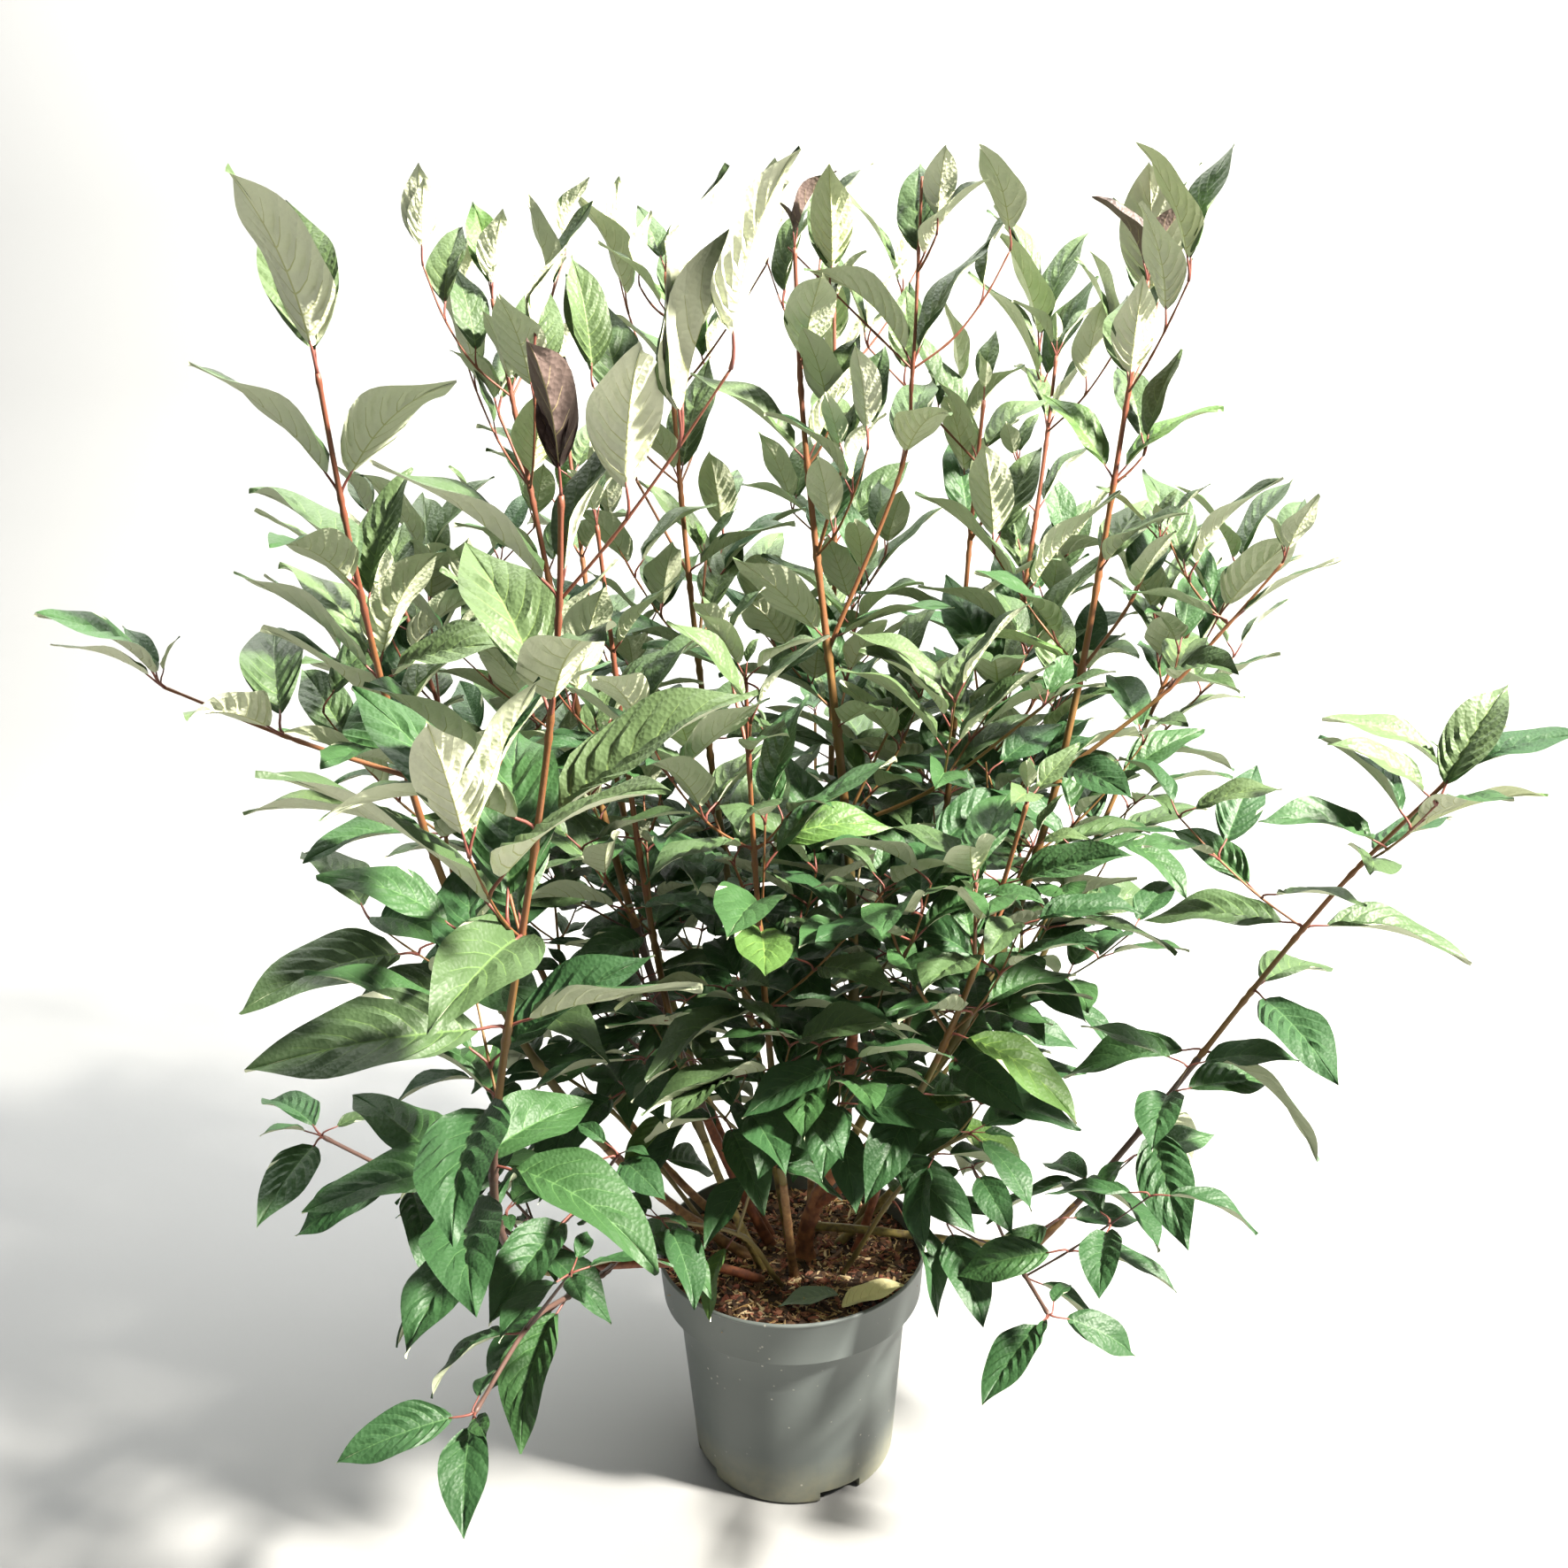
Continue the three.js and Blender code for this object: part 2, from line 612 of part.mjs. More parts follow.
// A side limb or twig: a thin shoot from a point of the stem, kept where it is clear.
function growTwig(stem, place, thick, leafScale, seed, solids) {
  const random = seeded(seed);
  const [leave, arrive] = place.rise.map((rise) => direction(place.heading, rise));
  const tip = place.point.clone().addScaledVector(leave, place.reach * SPREAD);
  tip.addScaledVector(arrive, place.reach * (1 - SPREAD));
  const path = pathOf(place.point, leave, tip, arrive);
  const nodes = nodesOf(path, TWIG_BARE, [TWIG_INTERNODE, TWIG_INTERNODE], random);
  const rings = ringsAt(path, bendsOf(path, 0, nodes), thick, TWIG_TIP_THICK);
  const whole = limbSolid(rings, TWIG_SIDES);
  const off = TWIG_FREE / path.getLength();
  const outer = limbSolid(ringsAt(path, bendsOf(path, off, nodes), thick, TWIG_TIP_THICK), TWIG_SIDES);
  if (!fits(stem.name, whole, outer)) return;
  stand(stem.name, whole);
  solids.push(whole);
  growAlong({ ...stem, turn: place.heading + 90 }, rings, leafScale, 0, random, solids);
}

const limbs = { trunk: { path: trunkPath, room: roomOf(trunkRings(), TRUNK_SIDES, true) } };
const collarLean = (RIM_RADIUS - DRAFT - COLLAR_FOOT_RADIUS) / (COLLAR_HEIGHT - WALL);
const mixRadius = RIM_RADIUS - DRAFT - WALL - GAP - collarLean * MIX_DROP;
const mixTop = [
  [0, SOIL],
  [mixRadius, SOIL],
];
const pot = makePot();
const soilProfile = [...potInner(GAP).slice(1).reverse(), ...mixTop.reverse()];
let pottingMix = turned(soilProfile, POT_SEGMENTS);
for (const { at, heading, length } of FALLEN) {
  const leaf = {
    root: new THREE.Vector3(...at, FALLEN_ROOT),
    along: direction(heading, FALLEN_RISE),
    face: new THREE.Vector3(0, 0, 1),
    length,
    width: length * LEAF_WIDTH,
    curl: FALLEN_CURL,
    fold: FALLEN_FOLD,
  };
  pottingMix = pottingMix.add(leafSolid(leaf, true));
}
const trunk = limbSolid(trunkRings(), TRUNK_SIDES, true);
stand("pot", pot);
stand("potting_mix", pottingMix);
stand("trunk", trunk);
addMesh("pot", pot, FINISH.pot);
addMesh("potting_mix", pottingMix, FINISH.mix);
addMesh("trunk", trunk, FINISH.bark, trunkFoot);

// Boughs and the stems inside the foliage come first, so that leaves keep clear of them.
// Each stem has a run of seeds: for its nodes, its leaves, its forks and then its twigs.
const SEEDS_PER_STEM = 72;
const FORK_SEEDS = 10;
const TWIG_SEEDS = 20;
const masses = [];
STEMS.forEach((stem, order) => {
  const seed = SEEDS_PER_STEM * (order + 1);
  const parent = stem.on ? limbs[stem.on] : null;
  const foot = parent
    ? parent.path.getPointAt(stem.at)
    : new THREE.Vector3(...stem.foot, SOIL + GAP);
  const tip = new THREE.Vector3(...stem.tip);
  const path = pathOf(foot, direction(...stem.leave), tip, direction(...stem.arrive));
  const clear = GAP / path.getLength();
  const tipThick = stem.bare < 1 ? TIP_THICK : stem.thick * 0.8;
  const joint = mix(stem.thick, tipThick, stem.bare);
  limbs[stem.name] = { path };
  if (stem.bare > 0) {
    const start = stem.at === 1 ? clear : 0;
    const shares = evenShares(path, start, stem.bare, BOUGH_STEP);
    const rings = ringsAt(path, shares, stem.thick, joint);
    let bough = limbSolid(rings, BOUGH_SIDES, !parent);
    if (parent) bough = bough.subtract(parent.room);
    stand("bough_" + stem.name, bough);
    addMesh("bough_" + stem.name, bough, FINISH.bough, foot);
    limbs[stem.name].room = roomOf(rings, BOUGH_SIDES, !parent);
  }
  if (stem.bare < 1) {
    const from = stem.bare > 0 ? stem.bare + clear : 0;
    const nodes = nodesOf(path, from, [LOW_INTERNODE, HIGH_INTERNODE], seeded(seed));
    const rings = ringsAt(path, bendsOf(path, from, nodes), joint, TIP_THICK);
    let core = limbSolid(rings, STEM_SIDES, !parent && from === 0);
    if (parent && from === 0) core = core.subtract(parent.room);
    stand(stem.name, core);
    masses.push({ stem, path, rings, seed, foot: rings.points[0], solids: [core] });
  }
});

// Then each mass grows its side limbs, its leaf pairs and its twigs by the same rule.
for (const mass of masses) {
  const { stem, path, rings, seed, solids } = mass;
  const bends = rings.points.slice(1, -1);
  (stem.forks ?? []).forEach(({ at, heading, rise, length }, i) => {
    const wanted = path.getPointAt(at);
    const [point] = bends.toSorted((a, b) => a.distanceTo(wanted) - b.distanceTo(wanted));
    const place = { point, heading, rise, reach: length };
    growTwig(stem, place, FORK_THICK, FORK_LEAF, seed + FORK_SEEDS + i, solids);
  });
  mass.twigs = growAlong(stem, rings, 1, stem.side, seeded(seed + 1), solids);
}
for (const { stem, twigs, solids, seed } of masses) {
  twigs.forEach((twig, i) => {
    growTwig(stem, twig, TWIG_THICK, TWIG_LEAF, seed + TWIG_SEEDS + i, solids);
  });
}
for (const { stem, foot, solids } of masses) {
  const whole = solids.reduce((sum, piece) => sum.add(piece));
  addMesh("foliage_" + stem.name, whole, FINISH.foliage, foot);
}

export default group;
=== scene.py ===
"""A potted red-barked dogwood: a shrub of many upright stems in a round nursery pot."""

import bisect
import math

import bpy
import numpy as np
from mathutils import Matrix, Quaternion, Vector, bvhtree, kdtree, noise


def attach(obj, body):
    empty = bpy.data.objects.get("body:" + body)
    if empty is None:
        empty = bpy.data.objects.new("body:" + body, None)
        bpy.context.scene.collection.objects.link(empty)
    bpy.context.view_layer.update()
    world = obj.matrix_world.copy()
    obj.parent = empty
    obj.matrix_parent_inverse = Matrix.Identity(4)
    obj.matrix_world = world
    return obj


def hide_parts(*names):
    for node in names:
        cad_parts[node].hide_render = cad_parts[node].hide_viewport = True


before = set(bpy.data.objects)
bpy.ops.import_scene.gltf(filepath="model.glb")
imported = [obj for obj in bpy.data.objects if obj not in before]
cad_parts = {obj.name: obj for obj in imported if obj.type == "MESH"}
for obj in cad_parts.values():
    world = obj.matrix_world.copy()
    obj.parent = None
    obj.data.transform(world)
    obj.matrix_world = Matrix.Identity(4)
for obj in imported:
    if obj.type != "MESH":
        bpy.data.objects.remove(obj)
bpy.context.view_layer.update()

# The camera stands about two steps in front of the pot at chest height, looks a little down
# and is turned by a degree, with a moderately wide lens.
CAMERA_PLACE = (0.0008, -1.408, 1.212)
CAMERA_DOWN = math.radians(18.23)
CAMERA_ROLL = math.radians(-1.036)
CAMERA_LENS = 36
CAMERA_SENSOR = 36
CAMERA_NEAR = 0.05
camera = bpy.data.objects.new("camera", bpy.data.cameras.new("camera"))
camera.data.lens = CAMERA_LENS
camera.data.sensor_width = CAMERA_SENSOR
camera.data.clip_start = CAMERA_NEAR
turn_down = Matrix.Rotation(math.pi / 2 - CAMERA_DOWN, 4, "X")
roll = Matrix.Rotation(CAMERA_ROLL, 4, "Z")
camera.matrix_world = Matrix.Translation(CAMERA_PLACE) @ turn_down @ roll
bpy.context.scene.collection.objects.link(camera)
bpy.context.scene.camera = camera

# The pot: one injection moulding in grey polypropylene, with a collar that lets pots stack,
# a thin lip, a tapering wall that flares at its shoulder, and a foot ring notched where the
# water runs out.
MM = 0.001  # the sizes below are in millimetres
RIM_RADIUS = 140
POT_HEIGHT = 246
COLLAR_FOOT = POT_HEIGHT - 50
COLLAR_FOOT_RADIUS = 135
COLLAR_STEP = 4.5
WALL = 2
DRAFT = 1.5
WALL_TOP_RADIUS = COLLAR_FOOT_RADIUS - COLLAR_STEP - DRAFT
SHOULDER_RADIUS = 117
SHOULDER_HEIGHT = 150
FOOT_RADIUS = 100
FLOOR_RISE = 15
LIP_HEIGHT = 4
HUB_RADIUS = 60
FOOT_RING = 8
CORNER = 6
BEVEL = 0.6
FILLET = 0.4
COLLAR_ROUND = 1.6
MERGE_WITHIN = 0.01
SHARP_EDGE = math.radians(40)
POT_SEGMENTS = 168
NOTCHES = 4
NOTCH_WIDTH = 46
NOTCH_TURN = 26
DRAIN_RADIUS = 8
DRAIN_AT = 79
GAP = 0.3
MOTTLE_PATCH = 120
DUST_HEIGHT = 60
DUST_PATCH = 14
SPOT_SPACING = 12
SPOT_PATCH = 30


def linear(code):
    """An sRGB hex colour as linear red, green and blue, and full opacity."""
    parts = [int(code[i : i + 2], 16) / 255 for i in (1, 3, 5)]
    return [c / 12.92 if c <= 0.04045 else ((c + 0.055) / 1.055) ** 2.4 for c in parts] + [1]


def add_node(tree, kind, settings=(), links=()):
    """A node of that kind, with its properties or input values, and links from other nodes' outputs."""
    node = tree.nodes.new("ShaderNode" + kind)
    for key, value in dict(settings).items():
        if hasattr(node, key):
            setattr(node, key, value)
        else:
            node.inputs[key].default_value = value
    for key, (source, output) in dict(links).items():
        tree.links.new(source.outputs[output], node.inputs[key])
    return node


def new_material(name, roughness, ior=1.46, colour=None):
    """A material with one plain shader, its node tree, the shader, and what places its patterns."""
    material = bpy.data.materials.new(name)
    material.use_nodes = True
    tree = material.node_tree
    shader = tree.nodes["Principled BSDF"]
    shader.inputs["Roughness"].default_value = roughness
    shader.inputs["IOR"].default_value = ior
    if colour:
        shader.inputs["Base Color"].default_value = linear(colour)
    return material, tree, shader, (add_node(tree, "TexCoord"), "Object")


def two_tone(tree, shader, place, size_mm, first, second, low=0.35, high=0.65):
    """A blotched colour that runs from one tint to another over patches of that size."""
    settings = {"Scale": 1000 / size_mm, "Detail": 4}
    spots = add_node(tree, "TexNoise", settings, {"Vector": place})
    ramp = add_node(tree, "ValToRGB", links={"Fac": (spots, "Fac")})
    ramp.color_ramp.elements[0].position = low
    ramp.color_ramp.elements[0].color = linear(first)
    ramp.color_ramp.elements[1].position = high
    ramp.color_ramp.elements[1].color = linear(second)
    tree.links.new(ramp.outputs["Color"], shader.inputs["Base Color"])
    return ramp


def grain(tree, shader, place, size_mm, depth_mm):
    """A fine relief of that size and depth over the whole surface."""
    settings = {"Scale": 1000 / size_mm, "Detail": 3}
    bumps = add_node(tree, "TexNoise", settings, {"Vector": place})
    settings = {"Strength": 1, "Distance": depth_mm * MM}
    bump = add_node(tree, "Bump", settings, {"Height": (bumps, "Fac")})
    tree.links.new(bump.outputs["Normal"], shader.inputs["Normal"])


def add_piece(name, points, faces, materials, dealt=None, smooth=True):
    """A mesh object from points in millimetres. dealt gives each face's material."""
    mesh = bpy.data.meshes.new(name)
    mesh.from_pydata((np.asarray(points, float) * MM).tolist(), [], faces)
    for material in materials:
        mesh.materials.append(material)
    if dealt is not None:
        mesh.polygons.foreach_set("material_index", dealt)
    mesh.polygons.foreach_set("use_smooth", [smooth] * len(mesh.polygons))
    mesh.update()
    piece = bpy.data.objects.new(name, mesh)
    bpy.context.scene.collection.objects.link(piece)
    return piece


def ring_faces(rings, sides, start=0):
    """The faces between rings of points that follow each other in a list."""
    faces = []
    for ring in range(rings - 1):
        first = start + ring * sides
        for i in range(sides):
            here, after = first + i, first + (i + 1) % sides
            faces.append([here, after, after + sides, here + sides])
    return faces


def turned(profile, segments):
    """The points and faces of a profile of (radius, height), turned about Z."""
    rings = np.array(profile, float)
    angles = np.arange(segments) * 2 * math.pi / segments
    points = [[r * math.cos(a), r * math.sin(a), z] for r, z in rings for a in angles]
    return points, ring_faces(len(rings), segments)


def arc(centre, radius, start, end, steps):
    """Points of a quarter round or the like, in a profile."""
    angles = np.radians(np.linspace(start, end, steps))
    return [(centre[0] + radius * math.cos(a), centre[1] + radius * math.sin(a)) for a in angles]


def cut(piece, points, faces):
    """Cuts a closed shape out of a piece."""
    cutter = add_piece("cutter", points, faces, [])
    step = piece.modifiers.new("cut", "BOOLEAN")
    step.operation = "DIFFERENCE"
    step.solver = "EXACT"
    step.object = cutter
    bpy.context.view_layer.objects.active = piece
    bpy.ops.object.modifier_apply(modifier=step.name)
    bpy.data.objects.remove(cutter)


def polypropylene():
    """Moulded polypropylene: dull mid grey that spreads light softly, with dust and lime low down."""
    material, tree, shader, place = new_material("moulded_polypropylene_grey", 0.5, 1.49)
    ramp = two_tone(tree, shader, place, MOTTLE_PATCH, "#5d6462", "#646b68", 0.3, 0.7)
    height = add_node(tree, "SeparateXYZ", links={"Vector": place})
    # The dust fades out over the lowest part of the wall.
    settings = {"From Min": 0, "From Max": DUST_HEIGHT * MM, "To Min": 1.0, "To Max": 0.0}
    low = add_node(tree, "MapRange", settings, {"Value": (height, "Z")})
    dust = add_node(tree, "TexNoise", {"Scale": 1000 / DUST_PATCH, "Detail": 8}, {"Vector": place})
    film = add_node(tree, "Math", {"operation": "MULTIPLY"}, {0: (low, "Result"), 1: (dust, "Fac")})
    dusty = add_node(tree, "Mix", {"data_type": "RGBA"}, {"Factor": (film, "Value")})
    tree.links.new(ramp.outputs["Color"], dusty.inputs[6])
    dusty.inputs[7].default_value = linear("#9a9678")
    # Sparse splash spots about a millimetre across, drawn twice their real size so that they show.
    spots = add_node(tree, "TexVoronoi", {"Scale": 1000 / SPOT_SPACING}, {"Vector": place})
    settings = {"From Min": 0.07, "From Max": 0.12, "To Min": 0.85, "To Max": 0.0}
    speck = add_node(tree, "MapRange", settings, {"Value": (spots, "Distance")})
    chance = add_node(tree, "TexNoise", {"Scale": 1000 / SPOT_PATCH}, {"Vector": place})
    settings = {"From Min": 0.5, "From Max": 0.58}
    some = add_node(tree, "MapRange", settings, {"Value": (chance, "Fac")})
    seen = add_node(tree, "Math", {"operation": "MULTIPLY"}, {0: (speck, "Result"), 1: (some, "Result")})
    specked = add_node(tree, "Mix", {"data_type": "RGBA"}, {"Factor": (seen, "Value")})
    tree.links.new(dusty.outputs[2], specked.inputs[6])
    specked.inputs[7].default_value = linear("#b4b2a5")
    tree.links.new(specked.outputs[2], shader.inputs["Base Color"])
    grain(tree, shader, place, 1.4, 0.05)
    return material


def blend_up(low, high, share):
    """Runs from one number to another, slowly at first."""
    return low + (high - low) * (0.55 * share + 0.45 * share * share)


def make_pot():
    """The turned shell, then the notches and drain holes."""
    lean = math.degrees(math.atan2(SHOULDER_RADIUS - FOOT_RADIUS - CORNER, SHOULDER_HEIGHT))
    shoulder = [(SHOULDER_RADIUS, SHOULDER_HEIGHT)]
    for share in (0.17, 0.34, 0.5, 0.67, 0.84):
        flare = blend_up(SHOULDER_RADIUS, WALL_TOP_RADIUS, share)
        shoulder.append((flare, SHOULDER_HEIGHT + share * (COLLAR_FOOT - SHOULDER_HEIGHT)))
    lip = LIP_HEIGHT / 2
    outer = [(0, 0), (HUB_RADIUS - 1, 0), (HUB_RADIUS, BEVEL), (HUB_RADIUS + WALL, FLOOR_RISE)]
    outer += [(FOOT_RADIUS - FOOT_RING - WALL, FLOOR_RISE), (FOOT_RADIUS - FOOT_RING, BEVEL)]
    outer += [(FOOT_RADIUS - FOOT_RING + BEVEL, 0)]
    outer += arc((FOOT_RADIUS, CORNER), CORNER, -90, -lean, 9) + shoulder
    outer += [(WALL_TOP_RADIUS - FILLET, COLLAR_FOOT - WALL)]
    outer += [(WALL_TOP_RADIUS + FILLET, COLLAR_FOOT - WALL + BEVEL)]
    outer += arc((COLLAR_FOOT_RADIUS - COLLAR_ROUND, COLLAR_FOOT + 2 * BEVEL), COLLAR_ROUND, -80, 0, 5)
    outer += [(RIM_RADIUS - DRAFT, POT_HEIGHT - LIP_HEIGHT - BEVEL)]
    outer += [(RIM_RADIUS - DRAFT + FILLET, POT_HEIGHT - LIP_HEIGHT)]
    outer += arc((RIM_RADIUS - lip, POT_HEIGHT - lip), lip, -60, 90, 8)
    inner = arc((RIM_RADIUS - DRAFT - WALL + 1, POT_HEIGHT - 1), 1, 90, 180, 4)
    inner += [(COLLAR_FOOT_RADIUS - WALL, COLLAR_FOOT + WALL)]
    inner += [(WALL_TOP_RADIUS - WALL, COLLAR_FOOT - WALL)]
    inner += [(radius - WALL, height) for radius, height in reversed(shoulder)]
    inner += [(FOOT_RADIUS + CORNER - WALL, FLOOR_RISE + WALL + CORNER)]
    inner += [(FOOT_RADIUS - CORNER, FLOOR_RISE + WALL)]
    inner += [(HUB_RADIUS, FLOOR_RISE + WALL), (HUB_RADIUS - WALL, WALL), (0, WALL)]
    pot = add_piece("pot_shell", *turned(outer + inner, POT_SEGMENTS), [polypropylene()])
    merge_near(pot)
    for i in range(NOTCHES):
        turn = math.radians(NOTCH_TURN + i * 360 / NOTCHES)
        out = Vector((math.cos(turn), math.sin(turn), 0))
        across = Vector((-out.y, out.x, 0))
        middle = out * (FOOT_RADIUS - FOOT_RING / 2)
        # The block that cuts the notch reaches past both faces of the ring.
        sides = [(-2, -0.5), (2, -0.5), (2, 0.5), (-2, 0.5)]
        outline = [middle + out * (FOOT_RING * a) + across * (NOTCH_WIDTH * b) for a, b in sides]
        cut(pot, *prism(outline, -FLOOR_RISE, FLOOR_RISE - 1))
        outline = [out * (DRAIN_AT + x) + across * y for x, y in arc((0, 0), DRAIN_RADIUS, 0, 340, 18)]
        cut(pot, *prism(outline, FLOOR_RISE - 4, FLOOR_RISE + WALL + 4))
    for face in pot.data.polygons:
        face.use_smooth = True
    pot.data.set_sharp_from_angle(angle=SHARP_EDGE)
    return pot


def merge_near(piece):
    """Merges the points that meet on the axis and drops the faces that close up there."""
    bpy.context.view_layer.objects.active = piece
    weld = piece.modifiers.new("weld", "WELD")
    weld.merge_threshold = MERGE_WITHIN * MM
    bpy.ops.object.modifier_apply(modifier=weld.name)


def prism(outline, low, high):
    """A straight prism on a level outline."""
    count = len(outline)
    points = [(p.x, p.y, low) for p in outline] + [(p.x, p.y, high) for p in outline]
    return points, [list(range(count))[::-1], list(range(count, 2 * count)), *ring_faces(2, count)]


pot = make_pot()
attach(pot, "root")
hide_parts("pot")

# The potting mix: composted bark, loose and damp, that has settled a finger's width under
# the rim. Chips and fibres of bark and wood lie on it, and two leaves have fallen there.
SOIL = 222
MIX_FLOOR = FLOOR_RISE + WALL + GAP
COLLAR_LEAN = (RIM_RADIUS - DRAFT - COLLAR_FOOT_RADIUS) / (POT_HEIGHT - COLLAR_FOOT - WALL)
MIX_RADIUS = RIM_RADIUS - DRAFT - WALL - GAP - COLLAR_LEAN * (POT_HEIGHT - SOIL)
MIX_SEGMENTS = 110
MIX_RINGS = 44
LUMPS = ((21, 2.6, 0.3), (7, 1.6, 4.1))  # size, height and place in the noise of each relief
MOUND = 2.5
MOUND_REACH = 30
EDGE_FADE = 12
SETTLED = 0.8
TRUNK_FOOT = (14, 4)
CHIP_SEED = 500
CHIP_MARGIN = 7
CHIP_TILTS = (0.7, 1.3)
CHIP_LIE = (0.4, 1.9)
CHIP_KINDS = [
    # name, how many, length, width, thickness, colours
    ("dark_bark", 1500, (5, 14), (3, 7), (1, 2.4), ("#3d2c21", "#6a4e39")),
    ("red_bark", 800, (4, 11), (3, 6), (1, 2.4), ("#7e4938", "#a56f57")),
    ("pale_wood", 520, (6, 17), (1.4, 3.6), (0.7, 1.6), ("#c0a173", "#e4cda2")),
    ("straw_fibre", 420, (12, 30), (0.7, 1.3), (0.6, 1.0), ("#ad8b58", "#d8b987")),
]


def seeded(seed):
    """Numbers between 0 and 1 that come out the same on every run."""
    state = (seed * 7919 + 17) & 0xFFFFFFFF

    def draw():
        nonlocal state
        state = (state * 1664525 + 1013904223) & 0xFFFFFFFF
        return state / 4294967296

    draw()
    draw()
    return draw


def between(pair, random):
    """A number drawn evenly from a pair's first to its second."""
    return pair[0] + (pair[1] - pair[0]) * random()


def mix_height(x, y):
    """The mix's relief: lumps, and a slight mound round the trunk."""
    near = math.hypot(x - TRUNK_FOOT[0], y - TRUNK_FOOT[1])
    lumps = sum(rise * noise.noise((x / size, y / size, at)) for size, rise, at in LUMPS)
    edge = min(1, max(0, (MIX_RADIUS - math.hypot(x, y)) / EDGE_FADE))
    return SOIL + (lumps + MOUND * math.exp(-near / MOUND_REACH)) * edge - SETTLED


def composted_bark():
    """Damp composted bark, crumbled: quite matt, blotched at random from near black to brown."""
    material, tree, shader, place = new_material("composted_bark_damp", 0.95)
    two_tone(tree, shader, place, 5, "#21160f", "#573c2a")
    grain(tree, shader, place, 2.2, 0.9)
    return material


def make_mix():
    """The bed of mix as one closed body, its top in fine relief."""
    below = [(0, WALL + GAP), (HUB_RADIUS - WALL - GAP, WALL + GAP), (HUB_RADIUS - GAP, MIX_FLOOR)]
    below += [(FOOT_RADIUS - CORNER - GAP, MIX_FLOOR)]
    below += [(FOOT_RADIUS + CORNER - WALL - GAP, MIX_FLOOR + CORNER)]
    below += [(SHOULDER_RADIUS - WALL - GAP, SHOULDER_HEIGHT)]
    below += [(WALL_TOP_RADIUS - WALL - GAP, COLLAR_FOOT - WALL)]
    below += [(COLLAR_FOOT_RADIUS - WALL - GAP, COLLAR_FOOT + WALL)]
    top = [(MIX_RADIUS * math.sqrt(1 - i / MIX_RINGS), SOIL) for i in range(MIX_RINGS + 1)]
    points, faces = turned(below + top, MIX_SEGMENTS)
    for point in points[len(below) * MIX_SEGMENTS :]:
        point[2] = mix_height(point[0], point[1])
    piece = add_piece("mix_bed", points, faces, [composted_bark()])
    merge_near(piece)
    return piece


def plain_surface(name, roughness, ior, colour, size_mm, depth_mm):
    """A material in one colour with a fine relief."""
    material, tree, shader, place = new_material(name, roughness, ior, colour)
    grain(tree, shader, place, size_mm, depth_mm)
    return material


def make_chips(name, count, length, width, thickness, tints, seed):
    """Loose chips as tapering, slightly bowed slips of bark or wood, lying at all angles."""
    random = seeded(seed)
    points, faces, dealt = [], [], []
    for _ in range(count):
        angle, out = 2 * math.pi * random(), (MIX_RADIUS - CHIP_MARGIN) * math.sqrt(random())
        x, y = out * math.cos(angle), out * math.sin(angle)
        size = Vector([between(pair, random) for pair in (length, width, thickness)]) / 2
        attitude = Quaternion((0, 0, 1), 2 * math.pi * random())
        attitude = attitude @ Quaternion((0, 1, 0), CHIP_TILTS[0] * (random() - 0.5))
        attitude = attitude @ Quaternion((1, 0, 0), CHIP_TILTS[1] * (random() - 0.5))
        middle = Vector((x, y, mix_height(x, y) + between(CHIP_LIE, random)))
        start = len(points)
        bow = 0.5 * size.x * (random() - 0.5) * 0.5
        for along, taper in ((-1, 0.45 + 0.5 * random()), (0, 1), (1, 0.35 + 0.6 * random())):
            for side, up in ((-1, -1), (1, -1), (1, 1), (-1, 1)):
                jitter = 0.75 + 0.5 * random()
                corner = Vector((along * size.x, side * size.y * taper * jitter, up * size.z * taper))
                corner.z += bow * (1 - abs(along))
                points.append(middle + attitude @ corner)
        faces += ring_faces(3, 4, start)
        faces.append([start + 3, start + 2, start + 1, start])
        faces.append([start + 8, start + 9, start + 10, start + 11])
        dealt += [int(random() * 2)] * 10
    # Shredded bark and wood: dry and matt, with a fibrous grain that catches a little light.
    materials = [
        plain_surface(f"chip_{name}_{tone}", 0.85, 1.46, tint, 1.5, 0.3)
        for tone, tint in zip(("dark", "pale"), tints)
    ]
    return add_piece(f"mix_chips_{name}", points, faces, materials, dealt, smooth=False)


mix_bed = make_mix()
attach(mix_bed, "root")
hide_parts("potting_mix")
for order, kind in enumerate(CHIP_KINDS):
    chips = make_chips(*kind, seed=CHIP_SEED + order)
    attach(chips, "root")

# The trunk: a short leaning stem that flares into the mix and ends at its fork, in thin
# red-brown bark that is shallowly ridged and ringed where the first leaves stood.
TRUNK_FORK = (50, 2, 342)
TRUNK_LEAVE = (150, 84)
TRUNK_ARRIVE = (2, 66)
TRUNK_THICK = 18
TRUNK_TOP_THICK = 15
TRUNK_RINGS = (0.38, 0.62, 0.8)
TRUNK_RIDGES = 0.16
TRUNK_SIDES = 40
RING_WIDTH = 1.6
RING_RISE = 0.13
FLARE = 1.4
FLARE_HEIGHT = 26
BARK_STEP = 2.2
CURVE_STEPS = 200


def direction(heading, rise):
    """A unit direction from its heading round from +X and its rise from level, in degrees."""
    turn, lift = math.radians(heading), math.radians(rise)
    return Vector((math.cos(lift) * math.cos(turn), math.cos(lift) * math.sin(turn), math.sin(lift)))


def blend(low, high, share):
    """Runs evenly from one number to another."""
    return low + (high - low) * min(1, max(0, share))


def curve_at(knots, t):
    """A point on the curve that four knots steer."""
    a, b, c, d = knots
    s = 1 - t
    return a * s**3 + b * (3 * s * s * t) + c * (3 * s * t * t) + d * t**3


